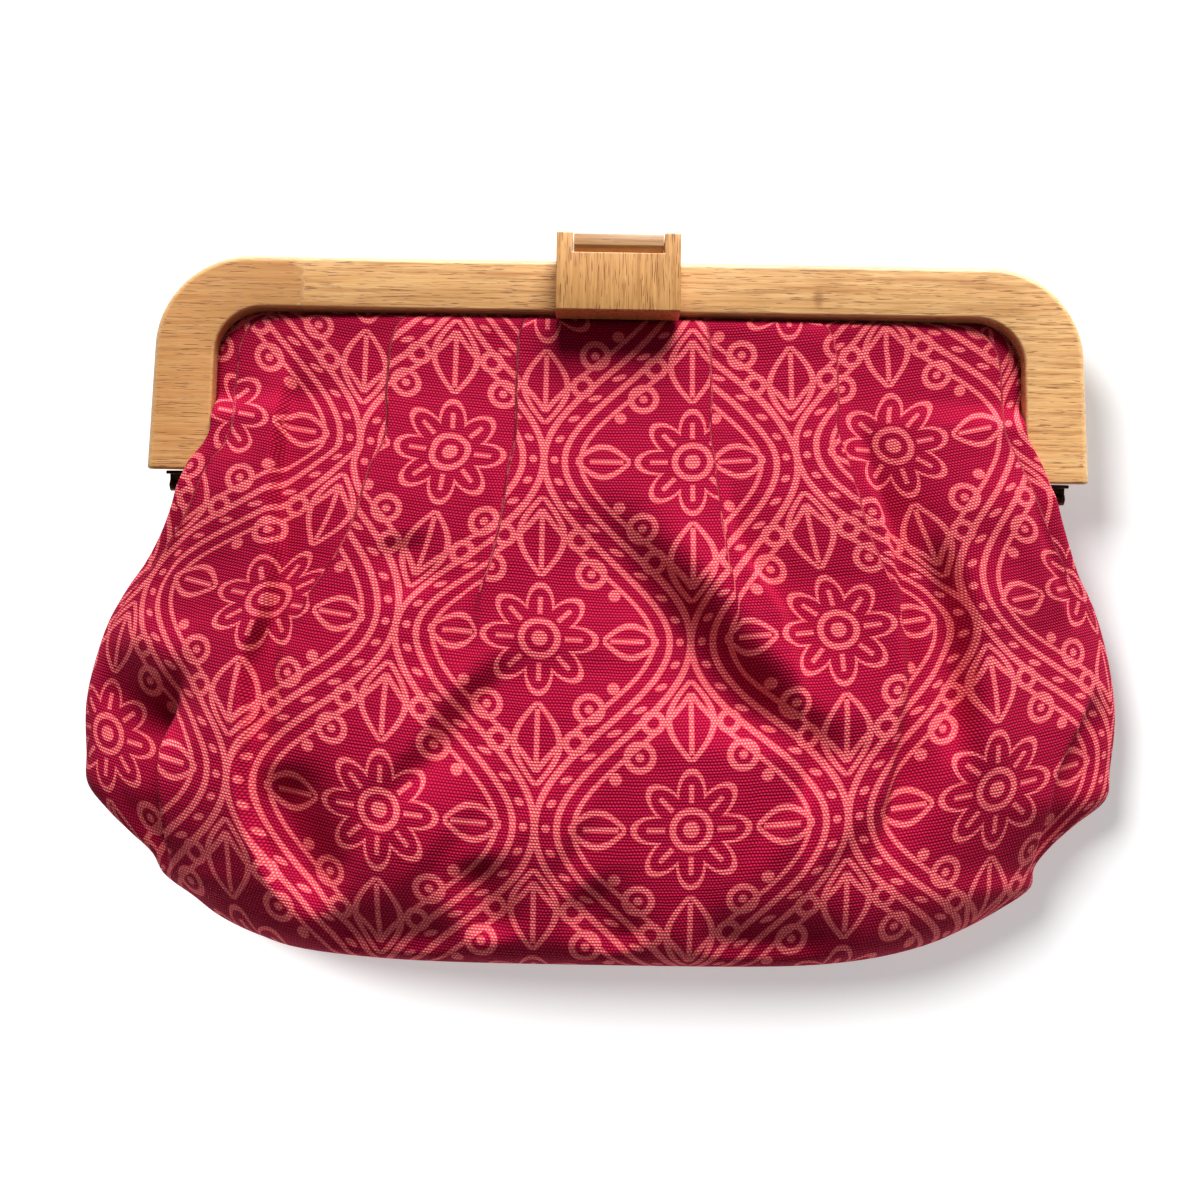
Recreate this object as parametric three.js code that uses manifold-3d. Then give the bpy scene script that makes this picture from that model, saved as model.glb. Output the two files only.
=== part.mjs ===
// Wooden-framed cloth clutch lying on its back, in millimetres.
// X runs across, +Y towards the frame's top, +Z out of the front.
// The floor is z = 0, x = 0 is the frame's middle, and a drop is a distance below the frame's top edge.
import * as THREE from 'three';
import { mergeVertices } from 'three/addons/utils/BufferGeometryUtils.js';
import Module from 'manifold-3d';

const wasm = await Module();
wasm.setup();
const { clamp, degToRad, lerp, smoothstep } = THREE.MathUtils;

// Frame halves
const frameTop = 98;
const frameHeight = 63.9;
const frameHalfWidth = 135.3;
const legFlare = 0.6;
const legLean = degToRad(11);
const barHeight = 15.6;
const innerHalfWidth = 117.3;
const outerRadius = 27.3;
const innerRadius = 13.8;
const woodEdge = 1.2;
const jawThickness = 10;
const jawGap = 0.4;
const grooveWidth = 2.6;
const grooveDepth = 4.5;
const grooveFromFace = 6.2;

// Clasp
const fitGap = 0.3;
const claspShift = -0.8;
const claspEdge = 0.7;
const plateRoom = 4;
const blockWidth = 35.5;
const blockRise = 5;
const blockBelow = 2.3;
const blockThickness = 9.5;
const notchWidth = 26.2;
const notchDepth = 5.9;
const tongueWidth = 25.6;
const tongueThickness = 3.5;
const tongueSetBack = 0.8;
const noseFace = 3.5;
const noseSlope = 0.4;
const noseUnder = 1.5;
const tongueBelowTop = 0.1;

// Hinges
const hingeInside = 124.2;
const hingeWidth = 6.8;
const leafThickness = 1;
const leafReach = 5;
const barrelRadius = 1.8;
const barrelDrop = 4.5;

// Cloth
const clothWall = 1.4;
const clothInGroove = 3.5;
const clothClear = 0.5;
const seamGap = 0.3;
const seamStart = 71.5;
const bottomDrop = 203.5;
const rollStart = 172;
const widestDrop = 132;
const floorDrop = 62;
const sideSquareness = 3;
const backSquareness = 4;
const backFlatness = 1.12;

// Heights worked out from the sizes above
const legEnd = frameTop - frameHeight;
const backFrameZ = plateRoom;
const frontFrameZ = plateRoom + jawThickness + jawGap;
const frameFrontZ = frontFrameZ + jawThickness;
const jawMiddleZ = frontFrameZ - jawGap / 2;
const frontGrooveZ = frameFrontZ - grooveFromFace;
const backGrooveZ = backFrameZ + grooveFromFace;
const hingeY = legEnd + (frameFrontZ - jawMiddleZ) * Math.tan(legLean);

// Cloth swelling over the leg ends: the drops of its stages, its height over the wood,
// and the share of the climb that goes straight up
const legBulge = { in: 40, full: 49, out: 68, gone: 84, over: 2.6, straight: 0.66 };

// Drops over which the pleats' steps and the folds come in and die out
const stepFade = { in: barHeight, full: barHeight + 8, out: 55, gone: 115 };
const foldFade = { in: barHeight + 3, full: barHeight + 22, out: rollStart, gone: bottomDrop - 4 };

// Reach of the cloth to either side of x = 0
const outline = [
  { drop: 49, left: 116.8, right: 116.8 },
  { drop: 52, left: 117.2, right: 117.8 },
  { drop: 57, left: 119.2, right: 120 },
  { drop: 62, left: 122.9, right: 122.3 },
  { drop: 68, left: 125.8, right: 125.5 },
  { drop: 75, left: 129.8, right: 129.3 },
  { drop: 82, left: 133.2, right: 132.1 },
  { drop: 90, left: 137.9, right: 135.9 },
  { drop: 98, left: 143.5, right: 139.5 },
  { drop: 107, left: 147.8, right: 142.3 },
  { drop: 117, left: 150.8, right: 144.4 },
  { drop: 130, left: 153.1, right: 145.5 },
  { drop: 145, left: 152.3, right: 143.7 },
  { drop: 154, left: 151.3, right: 142 },
  { drop: 161, left: 145.4, right: 133.3 },
  { drop: 167, left: 138.9, right: 126.5 },
  { drop: 173, left: 132, right: 121.5 },
  { drop: 179, left: 128.1, right: 120 },
  { drop: 185, left: 119.4, right: 112.1 },
  { drop: 191, left: 111.9, right: 103 },
  { drop: 197, left: 100, right: 89.9 },
  { drop: 201, left: 88.6, right: 76.2 },
  { drop: bottomDrop, left: 68, right: 62 },
];

// Height of the front along its middle, and of the cloth's edge in the groove and then in the seam
const heights = [
  { drop: barHeight, crest: frontGrooveZ + clothWall / 2, edge: frontGrooveZ },
  { drop: 22, crest: 22.4, edge: frontGrooveZ },
  { drop: 30, crest: 25.4, edge: frontGrooveZ },
  { drop: 40, crest: 28.2, edge: frontGrooveZ },
  { drop: frameHeight, crest: 32, edge: frontGrooveZ },
  { drop: 72, crest: 33.4, edge: jawMiddleZ },
  { drop: 100, crest: 36.8, edge: 10.8 },
  { drop: 130, crest: 39.8, edge: 10 },
  { drop: 160, crest: 41.8, edge: 10 },
  { drop: bottomDrop, crest: 42, edge: 10 },
];

// Pleats from the middle outwards: flat cloth before each, cloth folded away in it, step at its edge
const pleats = {
  left: [
    { flat: 30, tuck: 20, step: 1.7 },
    { flat: 37.5, tuck: 20, step: 1.7 },
    { flat: 41, tuck: 16, step: 1.2 },
  ],
  right: [
    { flat: 26.4, tuck: 18, step: 1.7 },
    { flat: 36.2, tuck: 18, step: 1.7 },
    { flat: 46, tuck: 14, step: 1.2 },
  ],
};
const lastFlat = 4;
const leastOpening = 0.05;

// Folds of the front from (x0, d0) to (x1, d1) in x and drop, with a sideways bow:
// the width to either side, and the height of a ridge (+) or depth of a hollow (-)
const folds = [
  { x0: 30, d0: 50, x1: 54, d1: 190, bow: -6, left: 13, right: 9, height: 3.6 },
  { x0: 2, d0: 78, x1: 46, d1: 138, bow: 2, left: 9, right: 13, height: -5 },
  { x0: 66, d0: 30, x1: 79, d1: 165, bow: -9, left: 14, right: 7, height: 3.4 },
  { x0: 86, d0: 50, x1: 106, d1: 160, bow: 2, left: 8, right: 11, height: -5 },
  { x0: -92, d0: 36, x1: -97, d1: 160, bow: -3, left: 6, right: 11, height: -4.5 },
  { x0: -106, d0: 40, x1: -108, d1: 130, bow: 2, left: 12, right: 7, height: 2.6 },
  { x0: -107, d0: 140, x1: -93, d1: 192, bow: 0, left: 10, right: 7, height: 3 },
  { x0: -99, d0: 140, x1: -76, d1: 188, bow: 0, left: 6, right: 10, height: -3.6 },
  { x0: -147, d0: 131, x1: -122, d1: 127, bow: 2, left: 7, right: 10, height: -6 },
  { x0: -36, d0: 70, x1: -44, d1: 130, bow: 3, left: 7, right: 11, height: 2.6 },
  { x0: -40, d0: 118, x1: -62, d1: 152, bow: 0, left: 8, right: 9, height: -3 },
  { x0: 134, d0: 128, x1: 120, d1: 180, bow: 0, left: 8, right: 8, height: -4 },
  { x0: -66, d0: 60, x1: -60, d1: 100, bow: 0, left: 8, right: 8, height: -1.8 },
];

// Share of a fold over which it fades at either end
const foldEnds = 0.3;

// Distances from the cloth's edge over which steps and folds come in
const liftMargin = { none: 2, full: 22 };

// Strip along the cloth's edge: its width, and the least distances between the columns beside it
const edgeStrip = 2.5;
const kneeLeast = 2;
const shoulderShare = 0.5;

// Fineness of the sheets
const frontRows = { mouth: 9, belly: 13, roll: 6 };
const backRows = { mouth: 5, belly: 7, roll: 5 };
const columnSpacing = 10;
const tuckColumns = 2;
const backColumns = 10;
const climbSteps = 12;
const domeSteps = 160;
const dishSteps = 120;
const mouthCrowding = 1.15;
const bellyCrowding = 1.25;
const firstRowDown = 0.4;

const frameWood = new THREE.MeshStandardMaterial({ name: 'frame_wood', color: 0xc98a4a, roughness: 0.45 });
const claspWood = new THREE.MeshStandardMaterial({ name: 'clasp_wood', color: 0xbf7d42, roughness: 0.45 });
const tongueWood = new THREE.MeshStandardMaterial({ name: 'tongue_wood', color: 0xd9ab70, roughness: 0.5 });
const hingeMetal = new THREE.MeshStandardMaterial({
  name: 'hinge_metal',
  color: 0x2b221d,
  roughness: 0.4,
  metalness: 1,
});
const canvas = new THREE.MeshStandardMaterial({ name: 'canvas', color: 0xb01f52, roughness: 0.9 });

function toBody(geometry) {
  const bare = new THREE.BufferGeometry();
  bare.setAttribute('position', geometry.getAttribute('position'));
  if (geometry.index) bare.setIndex(geometry.index);
  const merged = mergeVertices(bare, 1e-4);
  return new wasm.Manifold(new wasm.Mesh({
    numProp: 3,
    vertProperties: new Float32Array(merged.getAttribute('position').array),
    triVerts: new Uint32Array(merged.index.array),
  }));
}

function toGeometry(body) {
  const mesh = body.getMesh();
  const geometry = new THREE.BufferGeometry();
  geometry.setAttribute('position', new THREE.BufferAttribute(mesh.vertProperties, 3));
  geometry.setIndex(new THREE.BufferAttribute(mesh.triVerts, 1));
  return geometry;
}

function piece(name, geometry, material) {
  geometry.computeVertexNormals();
  const mesh = new THREE.Mesh(geometry, material);
  mesh.name = name;
  return mesh;
}

// Slab of a shape from z = 0 to its thickness, with rounded edges
function slab(shape, thickness, edge) {
  const geometry = new THREE.ExtrudeGeometry(shape, {
    depth: thickness - 2 * edge,
    bevelThickness: edge,
    bevelSize: edge,
    bevelOffset: -edge,
    bevelSegments: 2,
    curveSegments: 8,
  });
  return geometry.translate(0, 0, edge);
}

function polygon(corners) {
  return new THREE.Shape(corners.map(([x, y]) => new THREE.Vector2(x, y)));
}

function frameShape() {
  const shoulder = frameHalfWidth - legFlare;
  const arcY = frameTop - outerRadius;
  const innerY = frameTop - barHeight - innerRadius;
  const innerX = innerHalfWidth - innerRadius;
  const shape = new THREE.Shape();
  shape.moveTo(-frameHalfWidth, legEnd);
  shape.lineTo(-shoulder, arcY);
  shape.absarc(-shoulder + outerRadius, arcY, outerRadius, Math.PI, Math.PI / 2, true);
  shape.absarc(shoulder - outerRadius, arcY, outerRadius, Math.PI / 2, 0, true);
  shape.lineTo(frameHalfWidth, legEnd);
  shape.lineTo(innerHalfWidth, legEnd);
  shape.absarc(innerX, innerY, innerRadius, 0, Math.PI / 2, false);
  shape.absarc(-innerX, innerY, innerRadius, Math.PI / 2, Math.PI, false);
  shape.lineTo(-innerHalfWidth, legEnd);
  shape.closePath();
  return shape;
}

// Plate that fills the mouth and reaches into the wood all round, to cut the groove
function groovePlate(middleZ) {
  const half = innerHalfWidth + grooveDepth;
  const radius = innerRadius + grooveDepth;
  const arcY = frameTop - barHeight - innerRadius;
  const shape = new THREE.Shape();
  shape.moveTo(-half, legEnd - grooveDepth);
  shape.lineTo(-half, arcY);
  shape.absarc(-half + radius, arcY, radius, Math.PI, Math.PI / 2, true);
  shape.absarc(half - radius, arcY, radius, Math.PI / 2, 0, true);
  shape.lineTo(half, legEnd - grooveDepth);
  shape.closePath();
  const settings = { depth: grooveWidth, bevelEnabled: false, curveSegments: 8 };
  const geometry = new THREE.ExtrudeGeometry(shape, settings);
  return geometry.translate(0, 0, middleZ - grooveWidth / 2);
}

// Block whose upper face leans back from the front face's lower edge, to cut the leg ends
function legCut() {
  const height = jawThickness;
  const block = new THREE.BoxGeometry(3 * frameHalfWidth, height, 6 * jawThickness);
  return block.translate(0, -height / 2, 0).rotateX(legLean).translate(0, legEnd, frameFrontZ);
}

// Half of the frame that starts at a height, with its groove and its leg ends cut
function frameHalf(startZ, grooveZ) {
  const whole = toBody(slab(frameShape(), jawThickness, woodEdge));
  const grooved = whole.subtract(toBody(groovePlate(grooveZ - startZ)));
  return toGeometry(grooved.subtract(toBody(legCut().translate(0, 0, -startZ))));
}

// Block with a notch in its top, its back at z = 0 and y = 0 level with the frame's top
function claspBlock() {
  const half = blockWidth / 2;
  const notch = notchWidth / 2;
  const floor = blockRise - notchDepth;
  const heel = -barHeight - blockBelow;
  const shape = polygon([
    [-half, heel], [half, heel], [half, blockRise], [notch, blockRise],
    [notch, floor], [-notch, floor], [-notch, blockRise], [-half, blockRise],
  ]);
  return slab(shape, blockThickness, claspEdge);
}

// Tongue over the frame's top with a ridged nose that hangs into the notch and a plain plate behind
// the back half, y = 0 level with the frame's top
function claspTongue() {
  const top = blockRise - tongueBelowTop;
  const low = top - tongueThickness;
  const lipBack = frameFrontZ + 2 * fitGap;
  const lipLow = blockRise - notchDepth + fitGap;
  const nose = frameFrontZ + fitGap + blockThickness - tongueSetBack;
  const root = plateRoom / 4;
  const profile = polygon([
    [root, low], [lipBack, low], [lipBack, lipLow], [nose - noseUnder, lipLow],
    [nose, top - noseFace], [nose - noseSlope, top], [root, top],
  ]);
  const tongue = new THREE.ExtrudeGeometry(profile, { depth: tongueWidth, bevelEnabled: false });
  tongue.rotateY(-Math.PI / 2);
  tongue.translate(tongueWidth / 2, 0, 0);
  const half = blockWidth / 2;
  const plateShape = polygon([[-half, -barHeight], [half, -barHeight], [half, top], [-half, top]]);
  const plate = slab(plateShape, plateRoom - fitGap, claspEdge);
  return toGeometry(toBody(tongue).add(toBody(plate)));
}

// Two leaves under the leg ends, bent into one barrel and leaning with them;
// the origin is at the leg end between the halves
function hinge() {
  const leafMiddle = -fitGap - leafThickness / 2;
  const leaf = new THREE.BoxGeometry(hingeWidth, leafThickness, 2 * leafReach);
  leaf.translate(0, leafMiddle, 0);
  const webHeight = leafMiddle + barrelDrop;
  const web = new THREE.BoxGeometry(hingeWidth, webHeight, 2 * leafThickness);
  web.translate(0, webHeight / 2 - barrelDrop, 0);
  const barrel = new THREE.CylinderGeometry(barrelRadius, barrelRadius, hingeWidth, 14);
  barrel.rotateZ(Math.PI / 2);
  barrel.translate(0, -barrelDrop, 0);
  return toGeometry(toBody(leaf).add(toBody(web)).add(toBody(barrel))).rotateX(legLean);
}

// A smooth reading of one column of a table ordered by drop
function column(rows, key) {
  const drops = rows.map((row) => row.drop);
  const curve = new THREE.CubicInterpolant(drops, rows.map((row) => row[key]), 1);
  return (drop) => curve.evaluate(clamp(drop, drops[0], drops[drops.length - 1]))[0];
}

const reach = { left: column(outline, 'left'), right: column(outline, 'right') };
const crestAt = column(heights, 'crest');
const edgeAt = column(heights, 'edge');

// Share of a feature at a drop, between the stages of a fade
function faded(drop, fade) {
  return smoothstep(drop, fade.in, fade.full) * (1 - smoothstep(drop, fade.out, fade.gone));
}

// Half-width at a drop of a mouth with rounded upper corners
function mouthHalf(drop, top, half, radius) {
  const rise = radius - (drop - top);
  if (rise <= 0) return half;
  return half - radius + Math.sqrt(Math.max(0, radius * radius - rise * rise));
}

// Where the cloth leaves the wood or ends in the seam, and how much of it lies in the groove
function clothFoot(drop, side) {
  if (drop > frameHeight + fitGap) {
    const hinged = innerHalfWidth + clothInGroove + Math.max(0, drop - seamStart);
    return { foot: Math.min(reach[side](drop), hinged), rim: 0, inMouth: false };
  }
  const wood = mouthHalf(Math.max(drop, barHeight), barHeight, innerHalfWidth, innerRadius);
  const end = mouthHalf(
    drop,
    barHeight - clothInGroove,
    innerHalfWidth + clothInGroove,
    innerRadius + clothInGroove,
  );
  return { foot: wood - clothClear, rim: end - wood + clothClear, inMouth: true };
}

// Round of the roll at the bottom: 1 above it, 0 at the bottom seam
function rollShare(drop) {
  const down = Math.max(0, drop - rollStart) / (bottomDrop - rollStart);
  return Math.sqrt(Math.max(0, 1 - down * down));
}

// One side of the front at a drop, from the cloth's edge to the middle,
// as points of distance from the middle and height
function frontSection(drop, side) {
  const { foot, rim, inMouth } = clothFoot(drop, side);
  const bulge = faded(drop, legBulge);
  const wide = drop < legBulge.in ? foot : Math.max(foot, reach[side](drop));
  const low = inMouth ? frontGrooveZ + clothWall / 2 : edgeAt(drop) + seamGap / 2;
  const widestZ = low + (frameFrontZ + legBulge.over - low) * bulge;
  const top = Math.max(widestZ, low + (crestAt(drop) - low) * rollShare(drop));
  const points = rim > 0 ? [new THREE.Vector2(foot + rim, low)] : [];
  for (let i = 0; bulge > 0 && i < climbSteps; i += 1) {
    const part = i / climbSteps;
    const out = smoothstep(part, legBulge.straight, 1.05);
    points.push(new THREE.Vector2(lerp(foot, wide, out), lerp(low, widestZ, part)));
  }
  for (let i = 0; i <= domeSteps; i += 1) {
    const turn = (i / domeSteps) * (Math.PI / 2);
    const across = wide * Math.max(0, Math.cos(turn)) ** (2 / sideSquareness);
    points.push(new THREE.Vector2(across, lerp(widestZ, top, Math.sin(turn))));
  }
  return { points, rim, climb: widestZ - low };
}

// One side of the back at a drop, from the cloth's edge down to the floor, flat where it lies
function backSection(drop, side) {
  const { foot, rim, inMouth } = clothFoot(drop, side);
  const grooveLow = backGrooveZ - clothWall / 2;
  const seamLow = edgeAt(drop) - seamGap / 2;
  const high = inMouth ? grooveLow : lerp(grooveLow, seamLow, smoothstep(drop, frameHeight, seamStart));
  const low = lerp(high, high * (1 - smoothstep(drop, barHeight, floorDrop)), rollShare(drop));
  const points = rim > 0 ? [new THREE.Vector2(foot + rim, high)] : [];
  for (let i = 0; i <= dishSteps; i += 1) {
    const turn = (i / dishSteps) * (Math.PI / 2);
    const across = foot * Math.max(0, Math.cos(turn)) ** (2 / backSquareness);
    points.push(new THREE.Vector2(across, lerp(high, low, Math.min(1, backFlatness * Math.sin(turn)))));
  }
  return { points, rim, climb: 0 };
}

// Length of a line of points, and the point at a given length along it
function measured(points) {
  const lengths = [0];
  for (let i = 1; i < points.length; i += 1) {
    lengths.push(lengths[i - 1] + points[i].distanceTo(points[i - 1]));
  }
  const at = (length) => {
    let i = 1;
    while (i < points.length - 1 && lengths[i] < length) i += 1;
    const part = (length - lengths[i - 1]) / Math.max(1e-9, lengths[i] - lengths[i - 1]);
    return points[i - 1].clone().lerp(points[i], clamp(part, 0, 1));
  };
  return { total: lengths[lengths.length - 1], at };
}

// Height that the folds add at a place on the front
function foldHeight(x, drop) {
  let height = 0;
  for (const fold of folds) {
    const run = new THREE.Vector2(fold.x1 - fold.x0, fold.d1 - fold.d0);
    const length = run.length();
    run.divideScalar(length);
    const from = new THREE.Vector2(x - fold.x0, drop - fold.d0);
    const along = clamp(from.dot(run) / length, 0, 1);
    const across = from.x * run.y - from.y * run.x - fold.bow * Math.sin(Math.PI * along);
    const width = across < 0 ? fold.left : fold.right;
    const ends = smoothstep(along, 0, foldEnds) * smoothstep(1 - along, 0, foldEnds);
    height += fold.height * ends * Math.exp(-((across / width) ** 2));
  }
  return height;
}

// Columns of one side of the front from the middle outwards:
// flat and tucked cloth so far, and the steps still to come
function pleatColumns(list) {
  let step = list.reduce((sum, pleat) => sum + pleat.step, 0);
  const columns = [{ flat: 0, tuck: 0, step }];
  let flat = 0;
  let tuck = 0;
  const addFlat = (length) => {
    const count = Math.max(2, Math.round(length / columnSpacing));
    for (let i = 1; i <= count; i += 1) {
      columns.push({ flat: flat + (length * i) / count, tuck, step });
    }
    flat += length;
  };
  for (const pleat of list) {
    addFlat(pleat.flat);
    for (let i = 1; i <= tuckColumns; i += 1) {
      const part = i / tuckColumns;
      columns.push({ flat, tuck: tuck + pleat.tuck * part, step: step - pleat.step * part });
    }
    tuck += pleat.tuck;
    step -= pleat.step;
  }
  addFlat(lastFlat);
  return columns;
}

// Distances from the cloth's edge of the columns along it:
// past the groove, above the wood's edge and on the shoulder
function edgeColumns(line) {
  const strip = Math.max(line.rim, edgeStrip);
  const knee = strip + Math.max(kneeLeast, legBulge.straight * line.climb);
  const shoulder = knee + Math.max(edgeStrip, shoulderShare * line.climb);
  return [shoulder, knee, strip, 0];
}

// Points of one side of a front row from the middle to the edge; the pleats open as the bag widens
function frontSide(drop, side, columns) {
  const sign = side === 'left' ? -1 : 1;
  const line = frontSection(drop, side);
  const { total, at } = measured(line.points);
  const edges = edgeColumns(line);
  const last = columns[columns.length - 1];
  const room = total - edges[0] - edgeStrip;
  const open = drop < widestDrop ? clamp((room - last.flat) / last.tuck, leastOpening, 1) : 1;
  const fit = room / (last.flat + open * last.tuck);
  const row = columns.map((column) => {
    const fromMiddle = (column.flat + open * column.tuck) * fit;
    const point = at(total - fromMiddle);
    const margin = smoothstep(total - fromMiddle - line.rim, liftMargin.none, liftMargin.full);
    const x = sign * point.x;
    const lift = column.step * faded(drop, stepFade) + foldHeight(x, drop) * faded(drop, foldFade);
    return new THREE.Vector3(x, frameTop - drop, point.y + margin * lift);
  });
  const edge = edges.map((fromEdge) => {
    const point = at(fromEdge);
    return new THREE.Vector3(sign * point.x, frameTop - drop, point.y);
  });
  return [...row, ...edge];
}

// Points of one side of a back row from the middle to the edge
function backSide(drop, side) {
  const sign = side === 'left' ? -1 : 1;
  const line = backSection(drop, side);
  const { total, at } = measured(line.points);
  const strip = Math.max(line.rim, edgeStrip);
  const room = total - strip - kneeLeast;
  const inner = Array.from({ length: backColumns + 1 }, (_, i) => total - (room * i) / backColumns);
  return [...inner, strip, 0].map((length) => {
    const point = at(length);
    return new THREE.Vector3(sign * point.x, frameTop - drop, point.y);
  });
}

// Drops of the rows: one in the groove, then the mouth, the belly and the roll at the bottom
function rowDrops(rows) {
  const mouthFrom = barHeight + firstRowDown;
  const mouthTo = frameHeight + fitGap / 2;
  const drops = [barHeight - clothInGroove];
  for (let i = 0; i <= rows.mouth; i += 1) {
    drops.push(lerp(mouthFrom, mouthTo, (i / rows.mouth) ** mouthCrowding));
  }
  for (let i = 1; i <= rows.belly; i += 1) {
    drops.push(lerp(mouthTo, rollStart, (i / rows.belly) ** bellyCrowding));
  }
  for (let i = 1; i <= rows.roll; i += 1) {
    drops.push(lerp(rollStart, bottomDrop, Math.sin((i / rows.roll) * (Math.PI / 2))));
  }
  return drops;
}

function joinSides(drop, left, right) {
  return { drop, points: [...left.slice(1).reverse(), ...right] };
}

function frontGrid() {
  const left = pleatColumns(pleats.left);
  const right = pleatColumns(pleats.right);
  return rowDrops(frontRows).map((drop) => joinSides(
    drop,
    frontSide(drop, 'left', left),
    frontSide(drop, 'right', right),
  ));
}

function backGrid() {
  return rowDrops(backRows).map((drop) => joinSides(drop, backSide(drop, 'left'), backSide(drop, 'right')));
}

// Level direction out of the seam from its run down the side; the bottom row also faces down the bag
function seamOutward(run, atBottom, atLeft, atRight) {
  const outward = new THREE.Vector3(0, atBottom ? -1 : 0, 0);
  run.setZ(0).normalize();
  if (atLeft) outward.add(new THREE.Vector3(run.y, -run.x, 0));
  if (atRight) outward.add(new THREE.Vector3(-run.y, run.x, 0));
  return outward.normalize();
}

// Outer and inner points of a wall on a grid; facing is +1 for the front and -1 for the back
function wallPoints(grid, facing) {
  const rows = grid.length;
  const wide = grid[0].points.length;
  const at = (r, c) => grid[clamp(r, 0, rows - 1)].points[clamp(c, 0, wide - 1)];
  const outside = [];
  const inside = [];
  for (let r = 0; r < rows; r += 1) {
    for (let c = 0; c < wide; c += 1) {
      const across = at(r, c + 1).clone().sub(at(r, c - 1));
      const down = at(r + 1, c).clone().sub(at(r - 1, c));
      const atLeft = c === 0;
      const atRight = c === wide - 1;
      const atBottom = r === rows - 1;
      const inGroove = r < 2 || ((atLeft || atRight) && grid[r].drop < frameHeight + fitGap);
      let outward = down.clone().cross(across).multiplyScalar(facing).normalize();
      if (inGroove) outward = new THREE.Vector3(0, 0, facing);
      else if (atLeft || atRight || atBottom) outward = seamOutward(down, atBottom, atLeft, atRight);
      outside.push(at(r, c));
      inside.push(at(r, c).clone().addScaledVector(outward, -clothWall));
    }
  }
  return { rows, wide, outside, inside };
}

// Closed sheet of cloth: both faces of the wall and the strip round its edge
function sheet(grid, facing) {
  const { rows, wide, outside, inside } = wallPoints(grid, facing);
  const index = [];
  const face = (a, b, c) => (facing > 0 ? index.push(a, b, c) : index.push(a, c, b));
  const quad = (a, b, c, d, splitAC) => {
    face(a, b, splitAC ? c : d);
    face(splitAC ? a : b, c, d);
  };
  const under = rows * wide;
  for (let r = 0; r < rows - 1; r += 1) {
    for (let c = 0; c < wide - 1; c += 1) {
      const a = r * wide + c;
      const b = a + wide;
      const short = outside[a].distanceTo(outside[b + 1]) < outside[b].distanceTo(outside[a + 1]);
      quad(a, b, b + 1, a + 1, short);
      quad(under + a + 1, under + b + 1, under + b, under + a, !short);
    }
  }
  const strip = (a, b) => quad(a, b, under + b, under + a, true);
  const lastRow = (rows - 1) * wide;
  for (let c = 0; c < wide - 1; c += 1) {
    strip(c, c + 1);
    strip(lastRow + c + 1, lastRow + c);
  }
  for (let r = 0; r < rows - 1; r += 1) {
    strip((r + 1) * wide, r * wide);
    strip(r * wide + wide - 1, (r + 1) * wide + wide - 1);
  }
  const positions = [...outside, ...inside].flatMap((point) => point.toArray());
  const geometry = new THREE.BufferGeometry();
  geometry.setAttribute('position', new THREE.Float32BufferAttribute(positions, 3));
  geometry.setIndex(index);
  return geometry;
}

const frontFrame = piece('front_frame', frameHalf(frontFrameZ, frontGrooveZ), frameWood);
frontFrame.position.z = frontFrameZ;
const backFrame = piece('back_frame', frameHalf(backFrameZ, backGrooveZ), frameWood);
backFrame.position.z = backFrameZ;

const clasp = new THREE.Group();
clasp.position.set(claspShift, frameTop, 0);
const block = piece('clasp_block', claspBlock(), claspWood);
block.position.z = frameFrontZ + fitGap;
clasp.add(block, piece('clasp_tongue', claspTongue(), tongueWood));

const hinges = [['hinge_left', -1], ['hinge_right', 1]].map(([name, side]) => {
  const mesh = piece(name, hinge(), hingeMetal);
  mesh.position.set(side * (hingeInside + hingeWidth / 2), hingeY, jawMiddleZ);
  return mesh;
});

const bag = new THREE.Group();
bag.add(frontFrame, backFrame, clasp, ...hinges);
bag.add(piece('front_panel', sheet(frontGrid(), 1), canvas));
bag.add(piece('back_panel', sheet(backGrid(), -1), canvas));

export default bag;
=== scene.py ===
import math
import bmesh
import bpy
import numpy as np
from mathutils import Matrix, Vector


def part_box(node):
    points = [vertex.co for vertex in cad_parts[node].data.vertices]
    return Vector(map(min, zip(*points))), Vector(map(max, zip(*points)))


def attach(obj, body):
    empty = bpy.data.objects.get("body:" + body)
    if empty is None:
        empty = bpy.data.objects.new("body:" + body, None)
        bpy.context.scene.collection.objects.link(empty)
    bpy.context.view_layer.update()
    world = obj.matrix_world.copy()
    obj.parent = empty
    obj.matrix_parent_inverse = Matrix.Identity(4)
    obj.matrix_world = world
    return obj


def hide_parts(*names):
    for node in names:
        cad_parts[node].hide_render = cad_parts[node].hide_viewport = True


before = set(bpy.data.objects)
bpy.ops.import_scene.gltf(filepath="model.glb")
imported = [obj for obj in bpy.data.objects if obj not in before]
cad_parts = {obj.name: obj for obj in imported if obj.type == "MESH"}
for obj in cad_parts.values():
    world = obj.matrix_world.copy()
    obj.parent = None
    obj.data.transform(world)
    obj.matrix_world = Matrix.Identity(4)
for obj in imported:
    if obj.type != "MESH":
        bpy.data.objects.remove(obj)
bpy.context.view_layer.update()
scene = bpy.context.scene
mm = 0.001  # sizes below are in millimetres, drops are measured down from the frame's top edge


# helpers for meshes
def linkPiece(name, data):
    piece = bpy.data.objects.new(name, data)
    scene.collection.objects.link(piece)
    return piece


def addPiece(name, points, faces, material):
    mesh = bpy.data.meshes.new(name)
    mesh.from_pydata([tuple(p) for p in points], [], faces)
    mesh.materials.append(material)
    return linkPiece(name, mesh)


def addShape(name, shape, material):
    mesh = bpy.data.meshes.new(name)
    shape.to_mesh(mesh)
    shape.free()
    mesh.materials.append(material)
    return linkPiece(name, mesh)


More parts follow.
